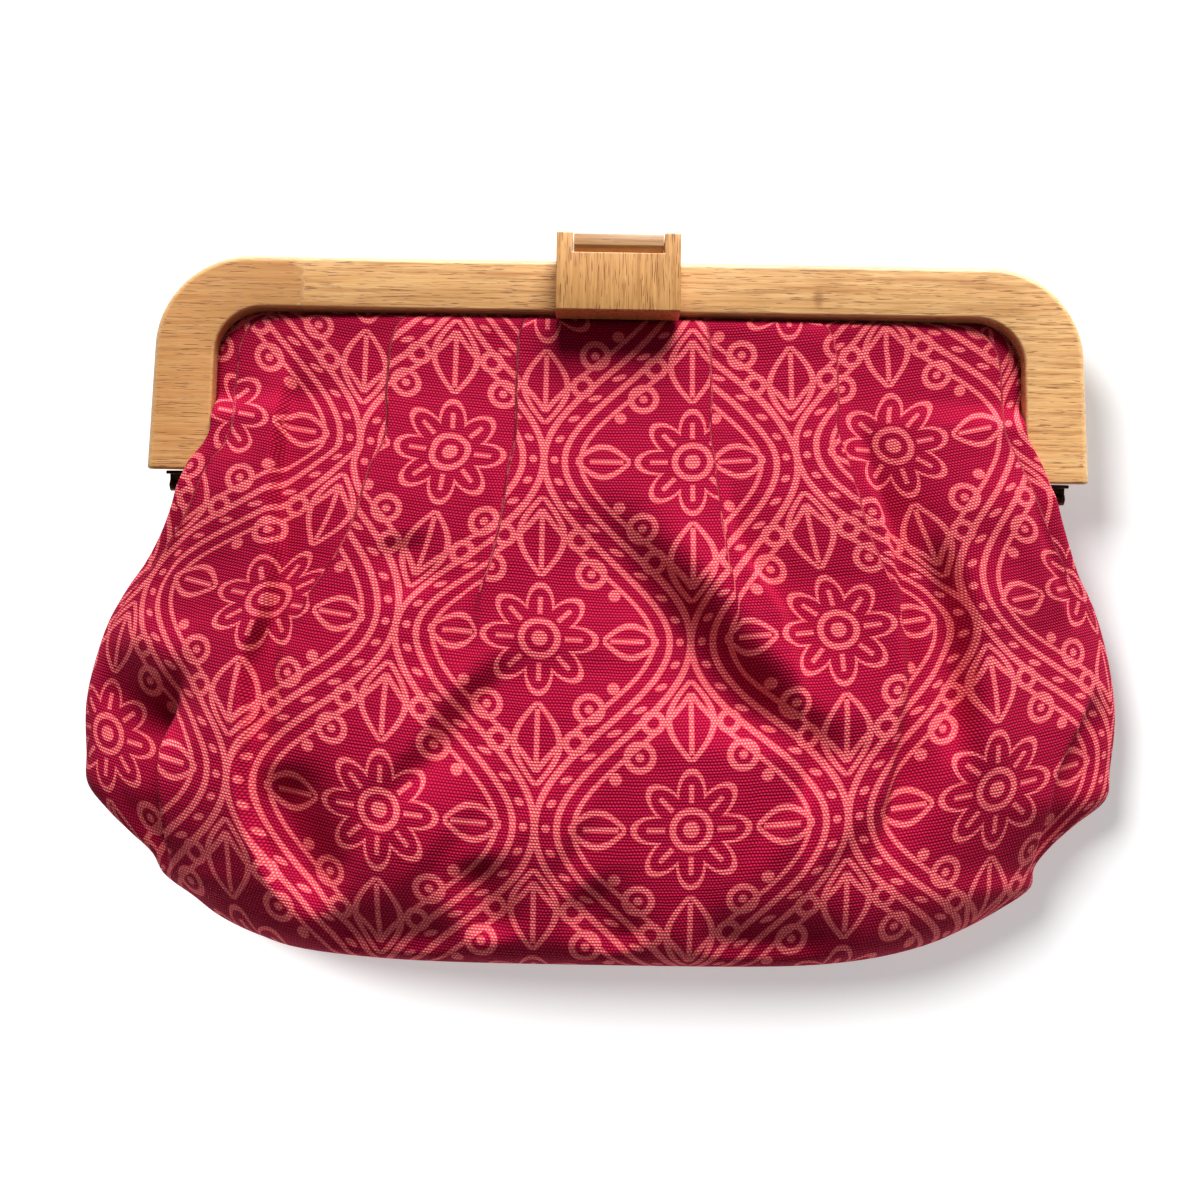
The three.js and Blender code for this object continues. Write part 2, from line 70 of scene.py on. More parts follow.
def faceOutwards(mesh):
    shape = bmesh.new()
    shape.from_mesh(mesh)
    bmesh.ops.remove_doubles(shape, verts=shape.verts, dist=1e-7)
    bmesh.ops.recalc_face_normals(shape, faces=shape.faces)
    shape.to_mesh(mesh)
    shape.free()


def softShade(piece, angle):
    piece.data.shade_smooth()
    piece.data.set_sharp_from_angle(angle=math.radians(angle))


def eased(value, low, high):
    part = np.clip((value - low) / (high - low), 0.0, 1.0)
    return part * part * (3.0 - 2.0 * part)


# helpers for materials
class nodeValue:
    # a socket that can be written in formulas
    def __init__(self, tree, socket):
        self.tree = tree
        self.socket = socket

    def calc(self, operation, *others):
        node = self.tree.nodes.new("ShaderNodeMath")
        node.operation = operation
        for place, value in zip(node.inputs, (self, *others)):
            feed(self.tree, place, value)
        return nodeValue(self.tree, node.outputs[0])

    def __add__(self, other):
        return self.calc("ADD", other)

    def __sub__(self, other):
        return self.calc("SUBTRACT", other)

    def __mul__(self, other):
        return self.calc("MULTIPLY", other)

    def __truediv__(self, other):
        return self.calc("DIVIDE", other)

    def size(self):
        return self.calc("ABSOLUTE")

    def wrapped(self, span):
        return self.calc("WRAP", span / 2, -span / 2)

    def most(self, other):
        return self.calc("MAXIMUM", other)

    def between(self, low, high):
        node = self.tree.nodes.new("ShaderNodeMapRange")
        node.interpolation_type = "SMOOTHSTEP"
        for place, value in zip(node.inputs, (self, low, high)):
            feed(self.tree, place, value)
        return nodeValue(self.tree, node.outputs[0])


def feed(tree, socket, value):
    if isinstance(value, nodeValue):
        tree.links.new(value.socket, socket)
    elif isinstance(value, bpy.types.NodeSocket):
        tree.links.new(value, socket)
    else:
        socket.default_value = value


def fill(tree, node, inputs):
    for name, value in inputs.items():
        feed(tree, node.inputs[name], value)


def addNode(tree, kind, inputs=None, **settings):
    node = tree.nodes.new(kind)
    for name, value in settings.items():
        setattr(node, name, value)
    fill(tree, node, inputs or {})
    return node


def startMaterial(name):
    material = bpy.data.materials.new(name)
    material.use_nodes = True
    tree = material.node_tree
    tree.nodes.clear()
    output = tree.nodes.new("ShaderNodeOutputMaterial")
    surface = tree.nodes.new("ShaderNodeBsdfPrincipled")
    tree.links.new(surface.outputs["BSDF"], output.inputs["Surface"])
    return material, tree, surface


def rgb(red, green, blue):
    # a colour read off a screen, made linear
    shares = [part / 255 for part in (red, green, blue)]
    linear = [part / 12.92 if part < 0.0404 else ((part + 0.055) / 1.055) ** 2.4 for part in shares]
    return (*linear, 1.0)


def mixed(tree, factor, first, second):
    node = addNode(tree, "ShaderNodeMix", data_type="RGBA")
    for place, value in ((0, factor), (6, first), (7, second)):  # the node's sockets for colours
        feed(tree, node.inputs[place], value)
    return node.outputs[2]


def noise(tree, place, scale, detail, roughness=0.5, distortion=0.0):
    node = addNode(tree, "ShaderNodeTexNoise", {
        "Vector": place, "Scale": scale, "Detail": detail, "Roughness": roughness, "Distortion": distortion})
    return nodeValue(tree, node.outputs["Fac"])


def drawnNoise(tree, place, scale, detail, roughness=0.5, distortion=0.0, shift=(0.0, 0.0, 0.0)):
    # noise with a scale of its own along each axis
    drawn = addNode(tree, "ShaderNodeMapping", {"Vector": place, "Location": shift, "Scale": scale})
    return noise(tree, drawn.outputs["Vector"], 1.0, detail, roughness, distortion)


def bumped(tree, surface, layers):
    # stacks (height, distance, strength) from coarse to fine
    normal = None
    for height, distance, strength in layers:
        node = addNode(tree, "ShaderNodeBump", {"Height": height, "Distance": distance, "Strength": strength})
        if normal:
            tree.links.new(normal, node.inputs["Normal"])
        normal = node.outputs["Normal"]
    tree.links.new(normal, surface.inputs["Normal"])


# camera at the photo's angle
cameraSet = {
    "target": (-4.5, -1.45, 24.4),
    "distance": 425.0,
    "elevation": 84.0,
    "roll": 0.95,
    "lens": 44.9,
    "sensor": 36.0,
    "nearest": 10.0,
}


def addCamera(s):
    rise, roll = math.radians(s["elevation"]), math.radians(s["roll"])
    back = Vector((0.0, -math.cos(rise), math.sin(rise)))
    right = Vector((1.0, 0.0, 0.0))
    up = back.cross(right)
    across = right * math.cos(roll) + up * math.sin(roll)
    upright = up * math.cos(roll) - right * math.sin(roll)
    eye = (Vector(s["target"]) + back * s["distance"]) * mm
    data = bpy.data.cameras.new("photoCamera")
    data.lens = s["lens"]
    data.sensor_width = s["sensor"]
    data.clip_start = s["nearest"] * mm
    camera = linkPiece("photoCamera", data)
    camera.matrix_world = Matrix((across, upright, back)).transposed().to_4x4()
    camera.location = eye
    scene.camera = camera


addCamera(cameraSet)
print("camera placed")


# woods of the frame, the clasp block and the tongue
frameWood = {
    "name": "frameWood",
    "grainAlong": "X",
    "pale": rgb(244, 194, 130),
    "middle": rgb(228, 170, 104),
    "deep": rgb(178, 114, 56),
    "pore": rgb(136, 78, 26),
    "poreShare": 0.605,
    "joint": -0.0935,  # scarf joint across the top bar
    "knot": (0.0575, 0.0875),
    "roughness": 0.36,
}
claspWood = {
    "name": "claspWood",
    "grainAlong": "Y",
    "pale": rgb(230, 174, 108),
    "middle": rgb(216, 156, 90),
    "deep": rgb(180, 118, 58),
    "pore": rgb(132, 70, 24),
    "poreShare": 0.6,
    "roughness": 0.34,
}
tongueWood = {
    "name": "tongueWood",
    "grainAlong": "X",
    "pale": rgb(196, 150, 98),
    "middle": rgb(180, 132, 82),
    "deep": rgb(146, 98, 54),
    "pore": rgb(128, 80, 40),
    "poreShare": 0.68,
    "roughness": 0.34,
}

# grain of every wood: noises with their scale along, across and through the board, then their shares
grainSet = {
    "ragged": {"scale": (30.0, 260.0, 30.0), "detail": 2.0},
    "wander": {"scale": (14.0, 60.0, 60.0), "detail": 2.0},
    "bands": {"scale": (5.0, 120.0, 120.0), "detail": 3.0, "roughness": 0.55, "distortion": 0.6},
    "fibres": {"scale": (90.0, 3200.0, 3200.0), "detail": 2.0, "roughness": 0.6},
    "streaks": {"scale": (24.0, 700.0, 700.0), "detail": 3.0, "roughness": 0.6},
    "flecks": {"scale": (170.0, 3500.0, 3500.0), "detail": 1.0},
    "crowd": {"scale": (18.0, 170.0, 170.0), "detail": 2.0},
    "ringTurns": 46.0, "ringWander": 5.0, "ringShare": 0.5,
    "streakRange": (0.4, 0.72), "streakShare": 0.75, "streakRough": 0.16, "streakBump": (0.00006, 0.5),
    "fibreRange": (0.35, 0.75), "fibreShare": 0.46, "fibreBump": 0.3,
    "crowding": 0.16, "poreEdge": 0.05, "poreDepth": 0.76, "poreRough": 0.2, "poreBump": (0.00005, 0.6),
    "jointRagged": 0.008, "jointLean": 0.12, "jointOffset": 0.0147, "jointEdge": 0.0012,
    "boardShift": 0.31, "boardShade": 0.4, "endRange": (0.03, -0.04), "endShade": 0.12,
    "knotNarrow": 0.55, "knotRange": (0.0022, 0.0004), "knotShare": 0.55,
    # pale colour of the worn edges with their painted highlight, and its share
    "wearAndHighlight": rgb(250, 214, 160), "wearAndHighlightShare": 0.3,
}


def makeWood(s, g):
    material, tree, surface = startMaterial(s["name"])
    place = addNode(tree, "ShaderNodeTexCoord").outputs["Object"]
    axes = addNode(tree, "ShaderNodeSeparateXYZ", {"Vector": place})
    x, y, z = (nodeValue(tree, axes.outputs[i]) for i in range(3))
    along, across = (x, y) if s["grainAlong"] == "X" else (y, x)
    beyond = None
    if "joint" in s:  # past the joint the grain comes from another board
        ragged = drawnNoise(tree, place, **g["ragged"]) * g["jointRagged"]
        past = x + y * g["jointLean"] + ragged - (s["joint"] + g["jointOffset"])
        beyond = past.between(0.0, g["jointEdge"])
        across = across + beyond * g["boardShift"]
    grain = addNode(tree, "ShaderNodeCombineXYZ", {"X": along, "Y": across, "Z": z}).outputs["Vector"]
    names = ("wander", "bands", "fibres", "streaks", "flecks", "crowd")
    wander, bands, fibres, streaks, flecks, crowd = (drawnNoise(tree, grain, **g[name]) for name in names)
    rings = (bands * g["ringTurns"] + wander * g["ringWander"]).calc("SINE").between(-1.0, 1.0)
    crowded = flecks + crowd * g["crowding"] - g["crowding"] / 2
    pores = crowded.between(s["poreShare"], s["poreShare"] + g["poreEdge"])
    colour = mixed(tree, rings * g["ringShare"], s["pale"], s["middle"])
    colour = mixed(tree, streaks.between(*g["streakRange"]) * g["streakShare"], colour, s["deep"])
    colour = mixed(tree, fibres.between(*g["fibreRange"]) * g["fibreShare"], colour, s["deep"])
    if beyond:
        shade = beyond * -g["boardShade"] + x.between(*g["endRange"]) * g["endShade"] + g["boardShade"]
        colour = mixed(tree, shade, colour, s["deep"])
    if "knot" in s:
        knotX, knotY = s["knot"]
        away = (x - knotX).calc("POWER", 2.0) + ((y - knotY) * g["knotNarrow"]).calc("POWER", 2.0)
        knot = away.calc("SQRT").between(*g["knotRange"])
        colour = mixed(tree, knot * g["knotShare"], colour, s["pore"])
    colour = mixed(tree, pores * g["poreDepth"], colour, s["pore"])
    # worn lacquer and a painted highlight: the rounded edges, marked on the mesh, are mixed towards a pale
    # colour
    wornAndHighlit = nodeValue(tree, addNode(tree, "ShaderNodeAttribute", attribute_name="edgeWearAndHighlight").outputs["Fac"])
    colour = mixed(tree, wornAndHighlit * g["wearAndHighlightShare"], colour, g["wearAndHighlight"])
    fill(tree, surface, {
        "Base Color": colour,
        "Roughness": streaks * g["streakRough"] + pores * g["poreRough"] + s["roughness"],
        "Specular IOR Level": 0.42,
        "Coat Weight": 0.08,
        "Coat Roughness": 0.3,
    })
    relief = pores * -1.0 + fibres * g["fibreBump"]
    bumped(tree, surface, [(streaks, *g["streakBump"]), (relief, *g["poreBump"])])
    return material


frameWoodSkin = makeWood(frameWood, grainSet)
claspWoodSkin = makeWood(claspWood, grainSet)
tongueWoodSkin = makeWood(tongueWood, grainSet)
print("woods mixed")


# frame halves: an upside-down U with a groove in its inner wall
frameSet = {
    "top": 98.0,
    "height": 63.9,
    "legLean": math.tan(math.radians(11.0)),
    "halfWidth": 135.3,
    "flare": 0.6,
    "bar": 15.6,
    "mouthHalf": 117.3,
    "outerRadius": 27.3,
    "mouthRadius": 13.8,
    "thickness": 10.0,
    "faceRound": 2.1,
    "mouthRound": 0.9,
    # less wear and painted highlight on the mouth's rounding
    "mouthWearAndHighlight": 0.35,
    "jawRound": 0.7,
    "endRound": 0.9,
    "groove": (4.9, 7.5),  # from the face
    "grooveDepth": 4.5,
    "steps": {"leg": 14, "corner": 26, "bar": 60, "face": 7, "mouth": 4, "jaw": 3, "end": 4},
    "sharpAngle": 32,
}


def arcPoints(centre, radius, start, end, count):
    turn = np.linspace(math.radians(start), math.radians(end), count)
    way = np.stack([np.cos(turn), np.sin(turn)], axis=1)
    return np.asarray(centre) + radius * way, way


def wallRun(s, half, flare, radius, top, steps):
    # points and normals of one wall from the left leg end to the right one
    shoulder = half - flare
    legEnd = s["top"] - s["height"]
    parts, normals = [], []
    leg = np.linspace((-half, legEnd), (-shoulder, top - radius), steps["leg"], endpoint=False)
    parts.append(leg)
    normals.append(np.tile((-1.0, 0.0), (len(leg), 1)))
    arc, way = arcPoints((-shoulder + radius, top - radius), radius, 180, 90, steps["corner"])
    parts.append(arc)
    normals.append(way)
    bar = np.linspace((-shoulder + radius, top), (shoulder - radius, top), steps["bar"])[1:-1]
    parts.append(bar)
    normals.append(np.tile((0.0, 1.0), (len(bar), 1)))
    points, ways = np.concatenate(parts), np.concatenate(normals)
    mirror = np.array((-1.0, 1.0))
    tail = slice(steps["leg"] + steps["corner"] - 1, None, -1)
    return np.concatenate([points, points[tail] * mirror]), np.concatenate([ways, ways[tail] * mirror])


def frameHalf(name, s, faceZ, backZ, material):
    steps = s["steps"]
    outer, outerWay = wallRun(s, s["halfWidth"], s["flare"], s["outerRadius"], s["top"], steps)
    inner, innerWay = wallRun(s, s["mouthHalf"], 0.0, s["mouthRadius"], s["top"] - s["bar"], steps)
    innerWay = -innerWay
    sign = 1.0 if faceZ > backZ else -1.0
    points, wearsAndHighlights, rings = [], [], []

    def rounding(wall, radius, count, wearAndHighlight, atJaw=False):
        # (wall, inset, depth, share of wear and painted highlight) round one edge of the section, from the
        # wall on
        edge = []
        for i in range(count + 1):
            turn = math.pi / 2 * i / count
            depth = radius * (1 - math.sin(turn))
            depth = s["thickness"] - depth if atJaw else depth
            edge.append((wall, radius * (1 - math.cos(turn)), depth, wearAndHighlight * math.sin(2 * turn)))
        return edge

    def ring(shrink):
        # the whole section, from the outer wall over the face to the mouth and back
        top, floor = s["groove"]
        section = rounding("outer", s["faceRound"], steps["face"], 1.0)
        section += rounding("mouth", s["mouthRound"], steps["mouth"], s["mouthWearAndHighlight"])[::-1]
        section += [("mouth", 0.0, top, 0.0), ("mouth", s["grooveDepth"], top, 0.0)]
        section += [("mouth", s["grooveDepth"], floor, 0.0), ("mouth", 0.0, floor, 0.0)]
        section += rounding("mouth", s["jawRound"], steps["jaw"], 0.0, True)
        section += rounding("outer", s["jawRound"], steps["jaw"], 0.0, True)[::-1]
        moved = []
        for wall, inset, depth, wearAndHighlight in section:
            grooved = wall == "mouth" and top <= depth <= floor
            middle = (top + floor) / 2 if grooved else s["thickness"] / 2
            pull = shrink if (depth < middle) != grooved else -shrink
            moved.append((wall, inset + shrink, depth + pull, wearAndHighlight))
        return moved

    def addRing(index, shrink, lift):
        rings.append(len(points))
        fromEnd = min(index, len(outer) - 1 - index) / steps["leg"]
        lean = s["legLean"] * max(0.0, 1.0 - fromEnd)
        for wall, inset, depth, wearAndHighlight in ring(shrink):
            line, ways = (outer, outerWay) if wall == "outer" else (inner, innerWay)
            x, y = line[index] - ways[index] * inset
            z = faceZ - sign * depth
            points.append((x * mm, (y + lift + lean * (frontHigh.z / mm - z)) * mm, z * mm))
            wearsAndHighlights.append(wearAndHighlight)

    def addEnd(index, turns):
        for turn in turns:
            addRing(index, s["endRound"] * (1 - math.sin(turn)), s["endRound"] * (1 - math.cos(turn)))

    endTurns = [math.pi / 2 * i / steps["end"] for i in range(steps["end"] + 1)]
    addEnd(0, endTurns)
    for index in range(1, len(outer) - 1):
        addRing(index, 0.0, 0.0)
    addEnd(len(outer) - 1, endTurns[::-1])
    size = rings[1] - rings[0]
    faces = []
    for a, b in zip(rings[:-1], rings[1:]):
        for i in range(size):
            j = (i + 1) % size
            faces.append((a + i, a + j, b + j, b + i))
    faces.append(tuple(rings[0] + i for i in range(size)))
    faces.append(tuple(rings[-1] + i for i in reversed(range(size))))
    piece = addPiece(name, points, faces, material)
    # share of wear and painted highlight at each point, highest in the middle of the roundings
    layer = piece.data.attributes.new("edgeWearAndHighlight", "FLOAT", "POINT")
    layer.data.foreach_set("value", wearsAndHighlights)
    faceOutwards(piece.data)
    softShade(piece, s["sharpAngle"])
    return piece


frontLow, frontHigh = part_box("front_frame")
backLow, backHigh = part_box("back_frame")
frontFrame = frameHalf("frontFrame", frameSet, frontHigh.z / mm, frontLow.z / mm, frameWoodSkin)
backFrame = frameHalf("backFrame", frameSet, backLow.z / mm, backHigh.z / mm, frameWoodSkin)
for piece, node in ((frontFrame, "front_frame"), (backFrame, "back_frame")):
    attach(piece, "root")
    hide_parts(node)
print("frame halves turned")


# clasp: notched block on the front, tongue over the top with its plate behind
claspSet = {
    "middle": -0.8,
    "width": 35.5,
    "rise": 5.0,
    "overhang": 2.3,
    "notch": (26.2, 5.9),
    "tongueWidth": 25.6,
    "tongueThickness": 3.5,
    "belowTop": 0.1,
    "nose": (3.5, 0.4),  # upper slope of the nose: height, depth
    "noseUnder": 1.5,
    "plate": 3.7,
    "fit": 0.3,
    "edge": 0.5,
    "tongueEdge": 0.25,
}
edgeRounding = {"segments": 3, "profile": 0.5, "sharpAngle": 40}


def prism(name, outline, low, high, axis, edge, material):
    # an outline pushed along an axis with its edges rounded; outline points are (x, y) or (z, y)
    shape = bmesh.new()
    corners = []
    for a, b in outline:
        place = (a, b, low) if axis == "Z" else (low, b, a)
        corners.append(shape.verts.new([v * mm for v in place]))
    base = shape.faces.new(corners)
    pushed = bmesh.ops.extrude_face_region(shape, geom=[base])
    ends = [v for v in pushed["geom"] if isinstance(v, bmesh.types.BMVert)]
    move = Vector((0, 0, high - low)) if axis == "Z" else Vector((high - low, 0, 0))
    bmesh.ops.translate(shape, vec=move * mm, verts=ends)
    bmesh.ops.recalc_face_normals(shape, faces=shape.faces)
    bmesh.ops.bevel(shape, geom=shape.edges[:], offset=edge * mm, segments=edgeRounding["segments"],
                    profile=edgeRounding["profile"], affect="EDGES")
    bmesh.ops.recalc_face_normals(shape, faces=shape.faces)
    piece = addShape(name, shape, material)
    softShade(piece, edgeRounding["sharpAngle"])
    return piece


def joined(name, pieces):
    shape = bmesh.new()
    for piece in pieces:
        shape.from_mesh(piece.data)
    material = pieces[0].data.materials[0]
    for piece in pieces:
        bpy.data.objects.remove(piece)
    return addShape(name, shape, material)


def makeClasp(s):
    blockLow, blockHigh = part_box("clasp_block")
    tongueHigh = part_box("clasp_tongue")[1]
    mid, half, notch = s["middle"], s["width"] / 2, s["notch"][0] / 2
    top = frameSet["top"] + s["rise"]
    foot = frameSet["top"] - frameSet["bar"]
    floor = top - s["notch"][1]
    heel = foot - s["overhang"]
    outline = [(mid - half, heel), (mid + half, heel), (mid + half, top), (mid + notch, top),
               (mid + notch, floor), (mid - notch, floor), (mid - notch, top), (mid - half, top)]
    block = prism("claspBlock", outline, blockLow.z / mm, blockHigh.z / mm, "Z", s["edge"], claspWoodSkin)
    tongueTop = top - s["belowTop"]
    low = tongueTop - s["tongueThickness"]
    nose = tongueHigh.z / mm
    lipBack = frontHigh.z / mm + 2 * s["fit"]
    lipLow = floor + s["fit"]
    root = s["plate"] - s["edge"]
    profile = [(root, low), (lipBack, low), (lipBack, lipLow), (nose - s["noseUnder"], lipLow),
               (nose, tongueTop - s["nose"][0]), (nose - s["nose"][1], tongueTop), (root, tongueTop)]
    reach = s["tongueWidth"] / 2
    tongue = prism("tongue", profile, mid - reach, mid + reach, "X", s["tongueEdge"], tongueWoodSkin)
    plateOutline = [(mid - half, foot), (mid + half, foot), (mid + half, tongueTop), (mid - half, tongueTop)]
    plate = prism("tonguePlate", plateOutline, 0.0, s["plate"], "Z", s["edge"], tongueWoodSkin)
    return block, joined("claspTongue", [tongue, plate])


claspBlock, claspTongue = makeClasp(claspSet)
claspPieces = ((claspBlock, "clasp_block", "clasp_wood"), (claspTongue, "clasp_tongue", "tongue_wood"))
for piece, node, slotName in claspPieces:
    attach(piece, "root")
    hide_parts(node)
print("clasp cut")


# hinges: a bent leaf with knuckles on a pin
hingeSet = {
    "leafThickness": 1.0,
    "leafReach": 5.0,
    "leafEdge": 0.22,
    "gap": 0.3,
    "barrelDrop": 4.5,
    "barrelRadius": 1.8,
    "barrelSides": 28,
    "knuckles": 5,
    "knuckleGap": 0.14,
    "pinRadius": 0.9,
    "pinSides": 20,
    "pinOut": 0.25,
    "sharpAngle": 35,
}
bronzeSet = {
    "dark": rgb(46, 35, 28), "warm": rgb(84, 62, 44), "bare": rgb(138, 108, 76),
    "patina": {"scale": 420.0, "detail": 4.0, "roughness": 0.6},
    "patinaRange": (0.35, 0.7), "patinaRough": 0.25, "patinaBump": (0.00004, 0.5),
    "scratches": {"scale": (300.0, 4000.0, 4000.0), "detail": 2.0},
    "scratchRange": (0.62, 0.75), "scratchShare": 0.5, "scratchBump": (0.00002, 0.4),
    "roughness": 0.26,
}


def makeBronze(s):
    material, tree, surface = startMaterial("hingeBronze")
    place = addNode(tree, "ShaderNodeTexCoord").outputs["Object"]
    patina = noise(tree, place, **s["patina"])
    scratches = drawnNoise(tree, place, **s["scratches"])
    colour = mixed(tree, patina.between(*s["patinaRange"]), s["dark"], s["warm"])
    colour = mixed(tree, scratches.between(*s["scratchRange"]) * s["scratchShare"], colour, s["bare"])
    rough = patina * s["patinaRough"] + s["roughness"]
    fill(tree, surface, {"Base Color": colour, "Roughness": rough, "Metallic": 1.0})
    bumped(tree, surface, [(patina, *s["patinaBump"]), (scratches, *s["scratchBump"])])
    return material


bronzeSkin = makeBronze(bronzeSet)


def addBarrel(shape, x, y, radius, length, sides):
    # a closed cylinder along X
    place = Matrix.Translation((x * mm, y * mm, 0.0)) @ Matrix.Rotation(math.pi / 2, 4, "Y")
    bmesh.ops.create_cone(shape, cap_ends=True, segments=sides, radius1=radius * mm, radius2=radius * mm,
                          depth=length * mm, matrix=place)


def makeHinge(name, node, s):
    low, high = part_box(node)
    left, right = low.x / mm, high.x / mm
    upper, under = -s["gap"], -s["gap"] - s["leafThickness"]
    axisY = -s["barrelDrop"]
    reach, thick = s["leafReach"], s["leafThickness"]
    profile = [(-reach, under), (-thick, under), (-thick, axisY), (thick, axisY),
               (thick, under), (reach, under), (reach, upper), (-reach, upper)]
    leaf = prism(name + "Leaf", profile, left, right, "X", s["leafEdge"], bronzeSkin)
    shape = bmesh.new()
    shape.from_mesh(leaf.data)
    bpy.data.objects.remove(leaf)
    pitch = (right - left) / s["knuckles"]
    for x in left + pitch * (np.arange(s["knuckles"]) + 0.5):
        addBarrel(shape, x, axisY, s["barrelRadius"], pitch - s["knuckleGap"], s["barrelSides"])
    addBarrel(shape, (left + right) / 2, axisY, s["pinRadius"], right - left + 2 * s["pinOut"], s["pinSides"])
    jawZ = (frontLow.z + backHigh.z) / 2
    legEnd = (frameSet["top"] - frameSet["height"]) * mm + (frontHigh.z - jawZ) * frameSet["legLean"]
    lean = Matrix.Rotation(math.atan(frameSet["legLean"]), 4, "X")
    shape.transform(Matrix.Translation((0.0, legEnd, jawZ)) @ lean)
    hinge = addShape(name, shape, bronzeSkin)
    softShade(hinge, s["sharpAngle"])
    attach(hinge, "root")
    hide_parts(node)
    return hinge


hingeLeft = makeHinge("hingeLeft", "hinge_left", hingeSet)
hingeRight = makeHinge("hingeRight", "hinge_right", hingeSet)
print("hinges bent")


# canvas: printed cotton with a nubby plain weave, its pattern laid out along the cloth
uvUnit = 100.0  # millimetres of cloth to one unit of its coordinates
canvasSet = {
    # ground and print each come in two colours: a painted highlight on the nub tops and painted shade in the
    # gaps
    "groundLitTop": rgb(203, 34, 82), "groundShadedGap": rgb(138, 0, 27),
    "lineLitTop": rgb(255, 152, 148), "lineShadedGap": rgb(230, 64, 80),
    "shade": rgb(120, 4, 52), "sheen": rgb(255, 190, 200),
    "nubPitch": 0.9, "rowPitch": 0.84, "litTopRange": (0.15, 0.95),
    "drift": {"scale": 0.12, "detail": 2.0},
    "driftReach": 0.9,
    "weftSlub": {"scale": (0.06, 1.9, 1.0), "detail": 2.0, "roughness": 0.6},
    "warpSlub": {"scale": (1.8, 0.06, 1.0), "detail": 2.0, "roughness": 0.6, "shift": (40.0, 0.0, 0.0)},
    "relief": {"nub": 0.65, "slubNub": 0.7, "weft": 0.5, "warp": 0.4},
    "bleed": {"nub": 0.3, "less": 0.12, "slub": 0.5},
    "fade": {"scale": (0.05, 0.05, 1.0), "detail": 3.0},
    "fadeShade": 0.06,
    "slubRange": (0.3, 0.8), "slubShade": 0.16, "slubRough": 0.12,
    "roughness": 0.78,
    "bump": (0.0003, 0.8),
    "across": 84.0,  # trellis repeat
    "down": 104.0,
    "swing": 18.0,
    "lineWidth": 1.8, "lineApart": 2.9,
    "inkSpread": 0.6, "inkEdge": 0.18, "cutEdge": 0.1,
}

# motifs in one quarter of a cell, measured from its middle
motifSet = {
    "beadSpacing": 6.5, "beadRange": (1.3, 0.95), "beadSpread": 0.5,
    "petalTurns": 4.0, "petalFoot": 9.5, "petalLength": 6.0,
    "petalVein": 0.75,  # share of the line's width
    "petalVeinSpan": (7.0, 12.0),
    "heartRing": 5.0, "heartDot": 2.2,
    "leaf": (18.0, 41.0, 6.2),  # start, end, fatness
    "bud": (17.5, 33.0, 4.6),
    "leafVein": 0.8,
    "leafVeinOff": (2.0, 4.0),  # how far it stays off the ends
    "rings": [(14.0, 19.5, 3.6), (10.5, 29.0, 2.6)],
    "dots": [(14.0, 19.5, 1.2), (20.5, 13.5, 1.7)],
    "innerLine": 7.4, "innerShare": 0.36,
}


